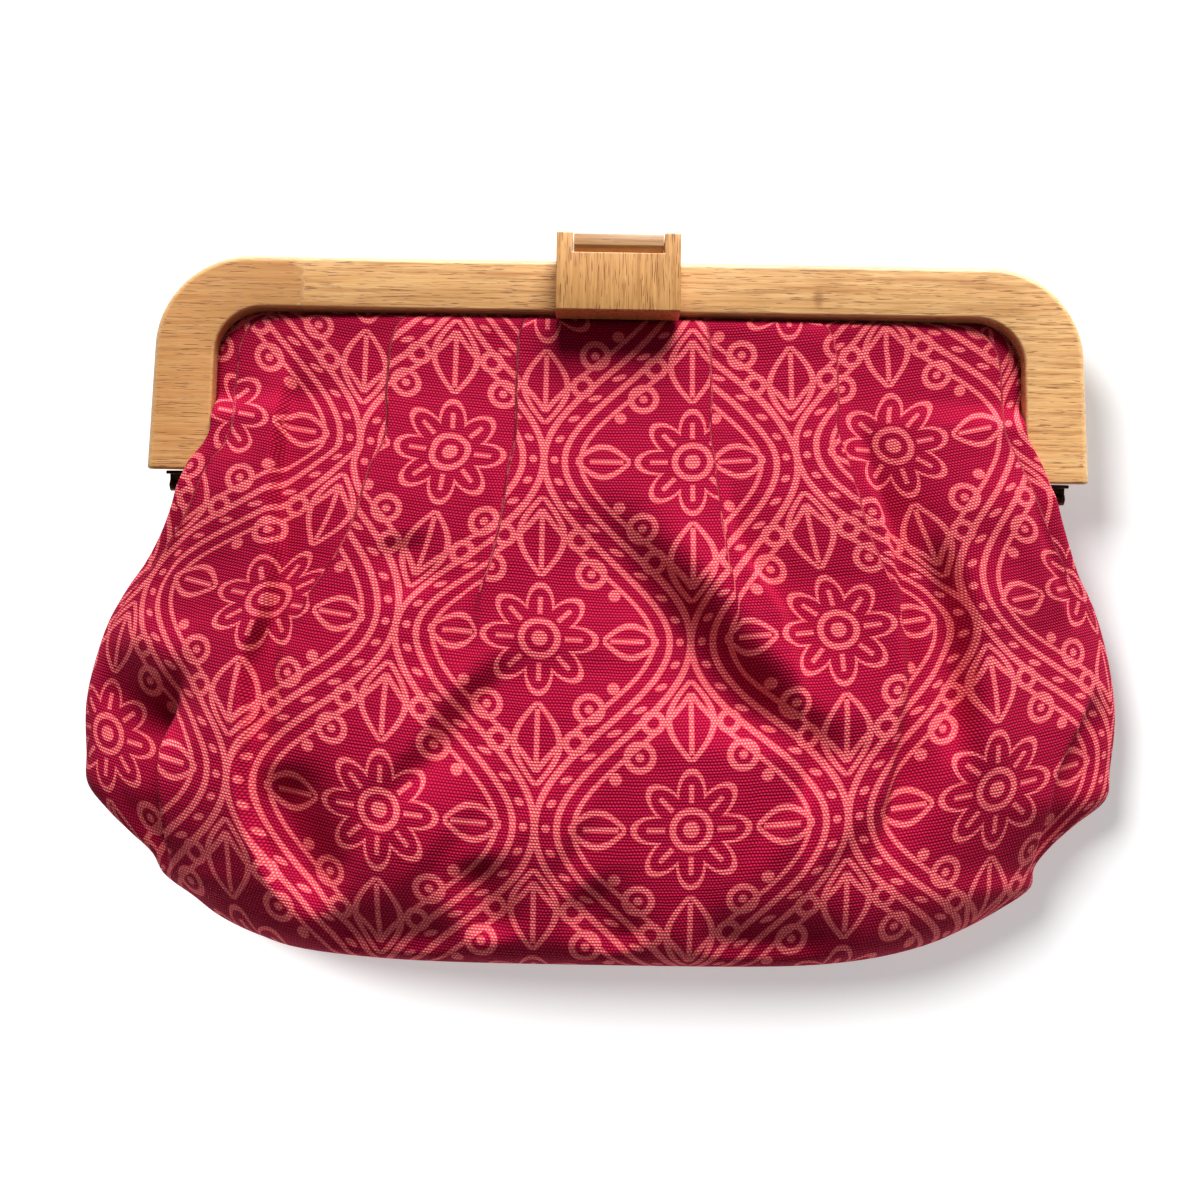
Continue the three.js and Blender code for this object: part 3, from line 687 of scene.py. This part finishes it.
def makeCanvas(s, m):
    material, tree, surface = startMaterial("printedCanvas")
    laid = addNode(tree, "ShaderNodeUVMap", uv_map="cloth").outputs["UV"]
    axes = addNode(tree, "ShaderNodeSeparateXYZ", {"Vector": laid})
    u = nodeValue(tree, axes.outputs[0]) * uvUnit
    v = nodeValue(tree, axes.outputs[1]) * uvUnit
    flat = addNode(tree, "ShaderNodeCombineXYZ", {"X": u, "Y": v}).outputs["Vector"]

    # threads
    drift = noise(tree, flat, **s["drift"]) * s["driftReach"]
    weftSlub = drawnNoise(tree, flat, **s["weftSlub"])
    warpSlub = drawnNoise(tree, flat, **s["warpSlub"])
    row = (v + drift) / s["rowPitch"]
    odd = row.calc("FLOOR").calc("MODULO", 2.0).size()
    warp = ((u + drift) * (math.pi / s["nubPitch"]) + odd * (math.pi / 2)).calc("SINE").size()
    weft = (row * math.pi).calc("SINE").size()
    nubs = warp * weft  # rows of thread ends, every other row shifted by half
    lift, bleed = s["relief"], s["bleed"]
    height = nubs * (weftSlub * lift["slubNub"] + lift["nub"])
    height = height + weftSlub * lift["weft"] + warpSlub * lift["warp"]

    # trellis of doubled lines, folded so that one quarter of a cell is drawn
    across, down, swing = s["across"], s["down"], s["swing"]
    soft = nubs * bleed["nub"] - bleed["less"] + (weftSlub - 0.5) * bleed["slub"]  # ink spreads unevenly
    a = (u + across / 4).wrapped(across).size()
    b = v.wrapped(down).size()
    outside = (a * (2 / across) + b * (2 / down)).calc("GREATER_THAN", 1.0)
    a = a + outside * (a * -2.0 + across / 2)
    b = b + outside * (b * -2.0 + down / 2)
    turn = b * (2 * math.pi / down)
    slope = turn.calc("SINE") * (swing * 2 * math.pi / down)
    edge = (a - across / 4 - turn.calc("COSINE") * swing) / (slope * slope + 1.0).calc("SQRT")
    half = s["lineWidth"] / 2

    def inked(distance, width):
        return (distance + soft * s["inkSpread"]).between(width + s["inkEdge"], width - s["inkEdge"])

    def stroke(distance, width=half):
        return inked(distance.size(), width)

    def awayFrom(x, y):
        return ((a - x) * (a - x) + (b - y) * (b - y)).calc("SQRT")

    def within(value, low, high):
        cut = s["cutEdge"]
        return value.between(low - cut, low + cut) * value.between(high + cut, high - cut)

    def leaf(lengthwise, sideways, start, end, fat):
        part = (lengthwise - start) / (end - start)
        hull = (part * math.pi).calc("SINE") * fat
        rim = stroke(sideways.size() - hull) * within(lengthwise, start, end)
        foot, tip = m["leafVeinOff"]
        vein = stroke(sideways, half * m["leafVein"]) * within(lengthwise, start + foot, end - tip)
        return rim.most(vein)

    fromBead = b.wrapped(m["beadSpacing"])
    fromBead = (edge * edge + fromBead * fromBead).calc("SQRT")
    radius = awayFrom(0.0, 0.0)
    petalAngle = b.calc("ARCTAN2", a) * m["petalTurns"]
    petalSide = petalAngle.calc("SINE") * radius * (1 / m["petalTurns"])
    printed = stroke(edge.size() - s["lineApart"])
    shapes = [
        (fromBead + soft * m["beadSpread"]).between(*m["beadRange"]),
        stroke(radius - petalAngle.calc("COSINE").size() * m["petalLength"] - m["petalFoot"]),
        stroke(petalSide, half * m["petalVein"]) * within(radius, *m["petalVeinSpan"]),
        stroke(radius - m["heartRing"]),
        inked(radius, m["heartDot"]),
        leaf(b, a, *m["leaf"]),
        leaf(a, b, *m["bud"]),
        stroke(edge + m["innerLine"], half * m["leafVein"]) * within(b, 0.0, down * m["innerShare"]),
    ]
    shapes += [stroke(awayFrom(x, y) - size) for x, y, size in m["rings"]]
    shapes += [inked(awayFrom(x, y), size) for x, y, size in m["dots"]]
    for shape in shapes:
        printed = printed.most(shape)

    # dyes over the threads, with the nub tops painted lighter as a highlight and the gaps between them
    # painted darker as shade
    litTops = nubs.between(*s["litTopRange"])
    ground = mixed(tree, litTops, s["groundShadedGap"], s["groundLitTop"])
    ink = mixed(tree, litTops, s["lineShadedGap"], s["lineLitTop"])
    colour = mixed(tree, printed, ground, ink)
    fade = drawnNoise(tree, flat, **s["fade"])
    shaded = weftSlub.between(*s["slubRange"]) * s["slubShade"] + fade * s["fadeShade"]
    fill(tree, surface, {
        "Base Color": mixed(tree, shaded, colour, s["shade"]),
        "Roughness": weftSlub * s["slubRough"] + s["roughness"],
        "Specular IOR Level": 0.05,
        "Sheen Weight": 0.02,
        "Sheen Roughness": 0.5,
        "Sheen Tint": s["sheen"],
    })
    bumped(tree, surface, [(height, *s["bump"])])
    return material


canvasSkin = makeCanvas(canvasSet, motifSet)
print("canvas printed")


# cloth panels: sections across the bag from the frame's groove down to the bottom seam
clothSet = {
    "wall": 1.4,
    "inGroove": 3.5,
    "clear": 0.5,
    "pastLegs": 0.3,
    "seamGap": 0.1,
    "seamStart": 71.5,
    "seamTurn": 0.2,
    "bottom": 201.0,
    "rollStart": 172.0,
    "rollTightness": 5.5,
    "bellyFall": 0.1,
    "bellyCurve": 1.5,
    "widest": 132.0,
    "floorDrop": 62.0,
    "sideSquareness": 3.4,
    "backSquareness": 4.0,
    "backFlatness": 1.12,
    "frontGrooveZ": 18.2,
    "backGrooveZ": 10.2,
    "frameFrontZ": 24.4,
    "lastFlat": 4.0,
    "leastOpening": 0.05,
    "fan": 0.25,
    "fanDrops": (18.0, 95.0),
    "foldMargin": (1.0, 20.0),  # from the edge, where folds fade in
    "foldEnds": 0.3,  # share of a fold in which it rises or falls
    "creaseCurve": 1.6,
    "rowBow": 0.00115,
    "edgeStrip": 2.5,
    "stripGap": 2.0,
    "edgeColumns": 14,
    "columnSpacing": 0.78,
    "fewestColumns": 3,
    "tuckColumns": 18,
    "backColumns": 84,
    "mouthInset": (0.4, 0.15),
    "rows": {"mouth": 46, "belly": 78, "roll": 34},
    "grooveRows": 3,
    "insideStep": 3,
    "sectionPoints": {"climb": 24, "dome": 241, "dish": 181},
}

# cloth swelling over the leg ends: drops of its stages, height over the wood, where its climb bends and ends
legBulge = {"in": 40.0, "full": 49.0, "out": 66.0, "gone": 112.0, "over": 2.6, "climb": (0.66, 1.05)}
stepFade = {"in": 15.6, "full": 23.6, "out": 55.0, "gone": 115.0}
foldFade = {"in": 18.6, "full": 37.6, "out": 190.0, "gone": 200.6}

# reach of the cloth to either side: drop, left, right
outlineRows = [
    (49, 116.8, 116.8), (52, 116.9, 117.6), (57, 118.8, 120), (62, 122.7, 122.2), (68, 125.2, 124.7),
    (75, 127.2, 126.8), (82, 130.3, 129.6), (90, 135.4, 133.4), (98, 141.9, 138.4), (107, 147.6, 142.2),
    (117, 150.8, 144.4), (130, 153.1, 145.5), (145, 152.3, 143.7), (154, 151.3, 142), (161, 145.4, 133.3),
    (167, 138.9, 126.5), (173, 132, 121.5), (179, 128.1, 120), (185, 119.4, 111.3), (190.6, 111.4, 101),
    (195.6, 100, 89), (198.8, 88.6, 76.2), (201, 68, 62),
]

# heights of the front along its middle and of its edge: drop, crest, edge
heightRows = [
    (15.6, 18.9, 18.2), (16.6, 21.8, 18.2), (17.8, 23.4, 18.2), (20, 24.4, 18.2), (30, 25.4, 18.2),
    (40, 26.8, 18.2), (63.9, 31.6, 18.2), (72, 33.2, 14.2), (100, 36.4, 10.8), (130, 39.8, 10),
    (160, 41.8, 10), (201, 42, 10),
]

# pleats from the middle outwards: flat cloth before it, cloth folded away, step at its edge
pleatRows = {
    "left": [(30.0, 20.0, 1.4), (37.5, 20.0, 1.4), (45.0, 16.0, 1.0)],
    "right": [(26.4, 18.0, 1.4), (36.2, 18.0, 1.4), (48.0, 14.0, 1.0)],
}

# soft folds from (x0, d0) to (x1, d1) in x and drop: sideways bow, widths to either side, height
foldRows = [
    (106, 55, 112, 115, 0, 12, 14, 2.2),
    (89, 78, 94, 148, 2, 4.5, 5, -6.0),
    (99, 80, 101, 158, 2, 5, 10, 3.6),
    (-156, 121, -112, 139, 0, 8, 11, -6.6),  # pocket at the left edge
    (-140, 108, -118, 122, 0, 9, 8, 2.0),
    (-94, 146, -76, 188, 0, 6, 10, -6.4),
    (-62, 82, -55, 102, 0, 8, 8, -2.2),
    (-64, 160, -46, 174, 0, 16, 18, 2.6),  # swells of the belly
    (-26, 156, -8, 168, 0, 14, 14, 2.4),
    (44, 158, 62, 172, 0, 16, 16, 2.6),
    (-38, 170, -30, 195, 0, 7, 7, -4.6),
    (-10, 178, 6, 198, 0, 8, 8, -4.2),
    (-84, 197, -36, 198, 0, 10, 10, -7.0),  # dents above the bottom seam
    (18, 197, 68, 198, 0, 10, 10, -7.0),
    (134, 132, 122, 180, 0, 8, 8, -1.6),
]

# creases where one fold lies over the next: places (drop, x), lower side, height and width of its ridge,
# depth and width of its fall, half the width of the turn, drops where it starts, is full, fades and ends
creaseRows = [
    ([(70, 4), (85, 11), (95, 17), (106, 26), (117, 34.5), (125, 41.5), (132, 47), (140, 52)],
     -1, (6.4, 16), (8.6, 24), 10.0, (66, 96, 128, 144)),
    ([(60, 30.5), (80, 32.8), (89, 36.4), (97, 42.4), (103, 46), (114, 49.2), (125, 51.5),
      (150, 50.8), (188, 52)],
     1, (1.8, 9), (3.0, 14), 1.3, (60, 90, 132, 184)),
    ([(41, 66), (62, 71.3), (83, 77.2), (107, 79.6), (121, 80.4), (136, 77.8), (150, 75.4),
      (163, 71.8), (176, 71)],
     1, (3.2, 12), (7.0, 13), 2.4, (40, 76, 146, 180)),
    ([(31, -95.5), (74, -96.5), (90, -95.4), (107, -97.6), (116, -101), (138, -100.8), (147, -101.2),
      (161, -98.9), (175, -93.4), (184, -88.9)],
     1, (3.4, 14), (4.4, 12), 2.0, (26, 52, 168, 190)),
    ([(92, -94), (102, -93.1), (119, -93.2), (131, -93.3), (138, -96.3), (144, -99.5)],
     -1, (1.0, 12), (0.7, 4), 1.6, (90, 104, 132, 145)),
    ([(126, -121), (132, -123), (139, -125.8), (148, -126.6), (162, -125.4), (176, -124)],
     -1, (2.2, 10), (9.0, 23), 1.8, (122, 140, 166, 184)),
    ([(122, 136), (132, 131.7), (138, 128.4), (145, 124.7), (154, 122), (164, 120.1), (178, 118)],
     1, (1.6, 9), (5.4, 13), 1.4, (120, 134, 164, 182)),
    ([(60, -34.5), (90, -38.5), (114, -47.3), (125, -50), (140, -54)],
     -1, (1.6, 8), (1.6, 9), 1.3, (60, 95, 116, 138)),
    ([(116, -31), (125, -39), (135, -46), (145, -53), (154, -59)],
     1, (3.2, 11), (3.8, 14), 5.0, (110, 127, 142, 158)),
    ([(52, -111), (59, -113.5), (74, -118.7), (95, -127), (104, -131)],
     -1, (1.2, 8), (1.6, 8), 1.5, (52, 64, 92, 112)),
    ([(48, 112), (66, 115), (84, 121.5), (99, 127.5), (108, 131)],
     1, (1.2, 8), (1.4, 8), 1.5, (46, 62, 92, 110)),
]


def smoothColumn(rows, index):
    # smooth reading of one column of a table ordered by drop
    drops = [row[0] for row in rows]
    values = [row[index] for row in rows]

    def read(drop):
        drop = min(max(drop, drops[0]), drops[-1])
        i = max(1, min(len(drops) - 1, int(np.searchsorted(drops, drop))))
        t0, t1 = drops[i - 1], drops[i]
        before = (drops[i - 2], values[i - 2]) if i > 1 else (t1, values[i])
        after = (drops[i + 1], values[i + 1]) if i + 1 < len(drops) else (t0, values[i - 1])
        wp, wn = (t1 - t0) / 2 / (t0 - before[0]), (t1 - t0) / 2 / (after[0] - t1)
        p = (drop - t0) / (t1 - t0)
        weights = (-wp * p**3 + 2 * wp * p * p - wp * p,
                   (1 + wp) * p**3 + (-1.5 - 2 * wp) * p * p + (wp - 0.5) * p + 1,
                   (-1 - wn) * p**3 + (1.5 + wn) * p * p + 0.5 * p,
                   wn * p**3 - wn * p * p)
        return sum(w * value for w, value in zip(weights, (before[1], values[i - 1], values[i], after[1])))

    return read


reach = {"left": smoothColumn(outlineRows, 1), "right": smoothColumn(outlineRows, 2)}
crestAt = smoothColumn(heightRows, 1)
edgeAt = smoothColumn(heightRows, 2)
creaseWays = [smoothColumn(row[0], 1) for row in creaseRows]


def faded(drop, fade):
    return eased(drop, fade["in"], fade["full"]) * (1 - eased(drop, fade["out"], fade["gone"]))


def mouthHalf(drop, top, half, radius):
    rise = radius - (drop - top)
    if rise <= 0:
        return half
    return half - radius + math.sqrt(max(0.0, radius * radius - rise * rise))


def clothFoot(drop, side):
    # where the cloth leaves the wood or ends in the seam, and how much lies in the groove
    s, f = clothSet, frameSet
    inset = s["inGroove"]
    if drop > f["height"] + s["pastLegs"]:
        hinged = f["mouthHalf"] + inset + max(0.0, drop - s["seamStart"])
        return min(reach[side](drop), hinged), 0.0, False
    wood = mouthHalf(max(drop, f["bar"]), f["bar"], f["mouthHalf"], f["mouthRadius"])
    end = mouthHalf(drop, f["bar"] - inset, f["mouthHalf"] + inset, f["mouthRadius"] + inset)
    return wood - s["clear"], end - wood + s["clear"], True


def rollShare(drop):
    # a gentle fall of the belly, then a tight turn into the bottom seam
    s = clothSet
    down = max(0.0, drop - s["rollStart"]) / (s["bottom"] - s["rollStart"])
    turn = max(0.0, 1 - down ** s["rollTightness"]) ** (1 / s["rollTightness"])
    return (1 - s["bellyFall"] * down ** s["bellyCurve"]) * turn


def frontSection(drop, side):
    s, count = clothSet, clothSet["sectionPoints"]
    foot, rim, inMouth = clothFoot(drop, side)
    bulge = float(faded(drop, legBulge))
    wide = foot if drop < legBulge["in"] else max(foot, reach[side](drop))
    low = s["frontGrooveZ"] + s["wall"] / 2 if inMouth else edgeAt(drop) + s["seamGap"] / 2
    widestZ = low + (s["frameFrontZ"] + legBulge["over"] - low) * bulge
    top = max(widestZ, low + (crestAt(drop) - low) * rollShare(drop))
    points = [(foot + rim, low)] if rim > 0 else []
    if bulge > 0:
        for part in np.arange(count["climb"]) / count["climb"]:
            out = float(eased(part, *legBulge["climb"]))
            points.append((foot + (wide - foot) * out, low + (widestZ - low) * part))
    turn = np.linspace(0, math.pi / 2, count["dome"])
    across = wide * np.maximum(0.0, np.cos(turn)) ** (2 / s["sideSquareness"])
    dome = np.stack([across, widestZ + (top - widestZ) * np.sin(turn)], axis=1)
    return np.concatenate([np.array(points).reshape(-1, 2), dome]), len(points)


def backSection(drop, side):
    s = clothSet
    foot, rim, inMouth = clothFoot(drop, side)
    grooveLow = s["backGrooveZ"] - s["wall"] / 2
    seamLow = edgeAt(drop) - s["seamGap"] / 2
    share = float(eased(drop, frameSet["height"], s["seamStart"]))
    high = grooveLow if inMouth else grooveLow + (seamLow - grooveLow) * share
    sunk = high * (1 - float(eased(drop, frameSet["bar"], s["floorDrop"])))
    low = high + (sunk - high) * rollShare(drop)
    points = [(foot + rim, high)] if rim > 0 else []
    turn = np.linspace(0, math.pi / 2, s["sectionPoints"]["dish"])
    across = foot * np.maximum(0.0, np.cos(turn)) ** (2 / s["backSquareness"])
    dish = np.stack([across, high + (low - high) * np.minimum(1.0, s["backFlatness"] * np.sin(turn))], axis=1)
    return np.concatenate([np.array(points).reshape(-1, 2), dish]), rim


def measured(line):
    lengths = np.concatenate([[0.0], np.cumsum(np.hypot(*np.diff(line, axis=0).T))])

    def at(length):
        return np.interp(length, lengths, line[:, 0]), np.interp(length, lengths, line[:, 1])

    return lengths, at


def foldHeight(x, drop):
    height = np.zeros_like(x)
    for x0, d0, x1, d1, bow, left, right, tall in foldRows:
        length = math.hypot(x1 - x0, d1 - d0)
        runX, runD = (x1 - x0) / length, (d1 - d0) / length
        along = np.clip(((x - x0) * runX + (drop - d0) * runD) / length, 0, 1)
        across = (x - x0) * runD - (drop - d0) * runX - bow * np.sin(np.pi * along)
        width = np.where(across < 0, left, right)
        ends = eased(along, 0, clothSet["foldEnds"]) * eased(1 - along, 0, clothSet["foldEnds"])
        height += tall * ends * np.exp(-(across / width) ** 2)
    return height


def creaseHeight(x, drop):
    curve = clothSet["creaseCurve"]
    height = np.zeros_like(x)
    for (_, lowSide, (tall, ridgeWidth), (deep, lowWidth), turn, stages), at in zip(creaseRows, creaseWays):
        start, full, out, gone = stages
        share = eased(drop, start, full) * (1 - eased(drop, out, gone))
        if share <= 0:
            continue
        lean = at(drop + 0.5) - at(drop - 0.5)
        beyond = (x - at(drop)) * lowSide / math.hypot(1.0, lean)
        ridge = tall * np.exp(-(np.maximum(0, -beyond) / ridgeWidth) ** curve)
        fallen = -deep * np.exp(-(np.maximum(0, beyond) / lowWidth) ** curve)
        height += share * (ridge + (fallen - ridge) * eased(beyond, -turn, turn))
    return height


def pleatColumns(rows):
    # flat cloth, folded cloth and height by column from the middle, each pleat rising to its folded edge
    s = clothSet
    flat = tuck = under = 0.0
    columns = [(0.0, 0.0, 0.0)]
    for length, folded, fall in rows + [(s["lastFlat"], 0.0, 0.0)]:
        count = max(s["fewestColumns"], round(length / s["columnSpacing"]))
        for part in np.arange(1, count + 1) / count:
            columns.append((flat + length * part, tuck, -under * (1 - float(eased(part, 0.0, 1.0)))))
        flat += length
        if folded:
            for part in np.arange(1, s["tuckColumns"] + 1) / s["tuckColumns"]:
                columns.append((flat, tuck + folded * part, -fall * float(eased(part, 0.0, 1.0))))
        tuck += folded
        under = fall
    return np.array(columns)


def sideRoom(lengths, edgePoints):
    # cloth from the middle to the strip along the edge
    return lengths[-1] - lengths[edgePoints] - clothSet["edgeStrip"]


def frontSide(drop, side):
    s = clothSet
    sign = -1.0 if side == "left" else 1.0
    line, edgePoints = frontSection(drop, side)
    lengths, at = measured(line)
    total, edgeLength = lengths[-1], lengths[edgePoints]
    flat, tuck, step = sideColumns[side].T
    room = sideRoom(lengths, edgePoints)
    spare = fullRoom[side] - flat[-1]
    opened = (room - flat[-1]) / spare if drop < s["widest"] else 1.0
    hidden = 1 - min(1.0, max(0.0, opened))  # share still folded away
    fan = 1 + s["fan"] * float(eased(drop, *s["fanDrops"]))  # pleats lean outwards as they open
    fan = min(fan, (room - s["leastOpening"] * tuck[-1]) / flat[-1])
    fromMiddle = flat * fan + tuck * (room - flat[-1] * fan) / tuck[-1]
    x, z = at(total - fromMiddle)
    margin = eased(total - edgeLength - fromMiddle, *s["foldMargin"])
    lift = step * faded(drop, stepFade)
    lift = lift + (foldHeight(sign * x, drop) + creaseHeight(sign * x, drop)) * faded(drop, foldFade)
    edges = np.linspace(edgeLength + s["edgeStrip"], 0.0, s["edgeColumns"] + 1)[1:]
    edgeX, edgeZ = at(edges)
    xs = sign * np.concatenate([x, edgeX])
    zs = np.concatenate([z + margin * lift, edgeZ])
    folded = tuck / tuck[-1] * spare * hidden
    us = sign * np.concatenate([fromMiddle + folded, total - edges + folded[-1]])
    return np.stack([xs, zs, us], axis=1)


def backSide(drop, side):
    s = clothSet
    sign = -1.0 if side == "left" else 1.0
    line, rim = backSection(drop, side)
    reached, at = measured(line)
    total = reached[-1]
    strip = max(rim, s["edgeStrip"])
    shares = np.arange(s["backColumns"] + 1) / s["backColumns"]
    lengths = np.append(total - (total - strip - s["stripGap"]) * shares, [strip, strip / 2, 0.0])
    x, z = at(lengths)
    return np.stack([sign * x, z, sign * (total - lengths)], axis=1)

def rowDrops(rows):
    s, f = clothSet, frameSet
    mouthFrom, mouthTo = f["bar"] + s["mouthInset"][0], f["height"] + s["mouthInset"][1]
    mouth = mouthFrom + (mouthTo - mouthFrom) * np.arange(rows["mouth"] + 1) / rows["mouth"]
    belly = mouthTo + (s["rollStart"] - mouthTo) * np.arange(1, rows["belly"] + 1) / rows["belly"]
    turn = np.arange(1, rows["roll"] + 1) / rows["roll"] * math.pi / 2
    roll = s["rollStart"] + (s["bottom"] - s["rollStart"]) * np.sin(turn)
    return np.concatenate([[f["bar"] - s["inGroove"], f["bar"] - s["inGroove"] / 2], mouth, belly, roll])


def clothGrid(drops, makeSide):
    # points and cloth coordinates of every row from left to right
    rows = []
    for drop in drops:
        left, right = makeSide(drop, "left"), makeSide(drop, "right")
        rows.append(np.concatenate([left[:0:-1], right]))
    grid = np.array(rows)
    y = np.repeat((frameSet["top"] - drops)[:, None], grid.shape[1], axis=1)
    points = np.stack([grid[:, :, 0], y, grid[:, :, 1]], axis=2)
    middle = points[:, points.shape[1] // 2]
    fall = np.concatenate([[0.0], np.cumsum(np.linalg.norm(np.diff(middle, axis=0), axis=1))])
    v = -(fall[:, None] + clothSet["rowBow"] * points[:, :, 0] ** 2)
    return points, np.stack([grid[:, :, 2], v], axis=2)


def unit(ways):
    return ways / np.maximum(1e-9, np.linalg.norm(ways, axis=2))[:, :, None]


def outwardWays(points, drops, facing):
    s = clothSet
    down = np.gradient(points, axis=0)
    across = np.gradient(points, axis=1)
    way = unit(np.cross(down, across) * facing)
    way[:s["grooveRows"]] = (0.0, 0.0, facing)
    run = unit(down * (1.0, 1.0, 0.0))
    inFrame = (drops < frameSet["height"] + s["pastLegs"])[:, None]
    for column, turn in ((0, 1.0), (-1, -1.0)):
        side = np.stack([run[:, column, 1] * turn, -run[:, column, 0] * turn, np.zeros(len(drops))], axis=1)
        way[:, column] = np.where(inFrame, (0.0, 0.0, facing), side)
    way[-1] = way[-1] * s["seamTurn"] + np.array((0.0, -1.0, 0.0))
    return unit(way)


def makePanel(name, drops, makeSide, facing):
    points, cloth = clothGrid(drops, makeSide)
    rows, wide = points.shape[:2]
    picked = np.unique(np.append(np.arange(0, rows, clothSet["insideStep"]), rows - 1))
    inside = (points - outwardWays(points, drops, facing) * clothSet["wall"])[picked]
    number = np.arange(rows * wide).reshape(rows, wide)
    twin = rows * wide + np.arange(len(picked) * wide).reshape(len(picked), wide)
    faces = []
    for grid, way in ((number, 1), (twin, -1)):
        corners = (grid[:-1, :-1], grid[1:, :-1], grid[1:, 1:], grid[:-1, 1:])
        faces += np.stack(corners, axis=2).reshape(-1, 4)[:, ::way].tolist()
    for column, way in ((0, 1), (-1, -1)):
        for k, (low, high) in enumerate(zip(picked[:-1], picked[1:])):
            strip = number[low:high + 1, column].tolist() + [int(twin[k + 1, column]), int(twin[k, column])]
            faces.append(strip[::-1][::way])
    for row, way in ((0, 1), (-1, -1)):
        edge, below = number[row], twin[row]
        faces += np.stack([edge[:-1], edge[1:], below[1:], below[:-1]], axis=1)[:, ::way].tolist()
    if facing < 0:
        faces = [face[::-1] for face in faces]
    every = np.concatenate([points.reshape(-1, 3), inside.reshape(-1, 3)]) * mm
    piece = addPiece(name, every.tolist(), faces, canvasSkin)
    spread = np.concatenate([cloth.reshape(-1, 2), cloth[picked].reshape(-1, 2)]) / uvUnit
    layer = piece.data.uv_layers.new(name="cloth")
    corners = np.empty(len(piece.data.loops), dtype=np.int32)
    piece.data.loops.foreach_get("vertex_index", corners)
    layer.data.foreach_set("uv", spread[corners].astype(np.float32).ravel())
    piece.data.shade_smooth()
    return piece


clothDrops = rowDrops(clothSet["rows"])
sideColumns = {side: pleatColumns(rows) for side, rows in pleatRows.items()}
fullRoom = {}
for side in pleatRows:
    widestLine, edgePoints = frontSection(clothSet["widest"], side)
    fullRoom[side] = sideRoom(measured(widestLine)[0], edgePoints)
frontPanel = makePanel("frontPanel", clothDrops, frontSide, 1.0)
backPanel = makePanel("backPanel", clothDrops[::2], backSide, -1.0)
for piece, node in ((frontPanel, "front_panel"), (backPanel, "back_panel")):
    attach(piece, "root")
    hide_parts(node)
print("panels sewn", len(frontPanel.data.polygons), len(backPanel.data.polygons))


# pale floor, a low light over the frame for the folds and a high one for the floor's close soft shadow
lightSet = {
    "key": {"from": (0.15, 0.89, 0.42), "strength": 7.4, "spread": 40.0},
    "floorSun": {"from": (-0.6, 0.44, 0.72), "strength": 4.6, "spread": 28.0},
    "sky": 0.14,
    "floor": 0.75,
    "floorGlow": 0.4,
    "floorHalf": 3.0,
}
white = (1.0, 1.0, 1.0, 1.0)


def addSun(name, s, shinesOn):
    data = bpy.data.lights.new(name, "SUN")
    data.energy = s["strength"]
    data.angle = math.radians(s["spread"])
    sun = linkPiece(name, data)
    sun.rotation_euler = Vector(s["from"]).to_track_quat("Z", "Y").to_euler()
    group = bpy.data.collections.new(name + "Reach")
    for piece in shinesOn:
        group.objects.link(piece)
    sun.light_linking.receiver_collection = group


def lightStage(s, bag):
    material, tree, surface = startMaterial("paleFloor")
    fill(tree, surface, {
        "Base Color": (s["floor"], s["floor"], s["floor"], 1.0),
        "Roughness": 0.9,
        "Specular IOR Level": 0.1,
        "Emission Color": white,
        "Emission Strength": s["floorGlow"],
    })
    half = s["floorHalf"]
    corners = [(-half, -half, 0), (half, -half, 0), (half, half, 0), (-half, half, 0)]
    floor = addPiece("floor", corners, [(0, 1, 2, 3)], material)
    addSun("keyLight", s["key"], bag)
    addSun("floorLight", s["floorSun"], [floor])
    world = bpy.data.worlds.new("softSky")
    world.use_nodes = True
    fill(world.node_tree, world.node_tree.nodes["Background"], {"Color": white, "Strength": s["sky"]})
    scene.world = world
    scene.view_settings.view_transform = "Standard"


bagPieces = [frontFrame, backFrame, claspBlock, claspTongue, hingeLeft, hingeRight, frontPanel, backPanel]
lightStage(lightSet, bagPieces)
print("stage lit")
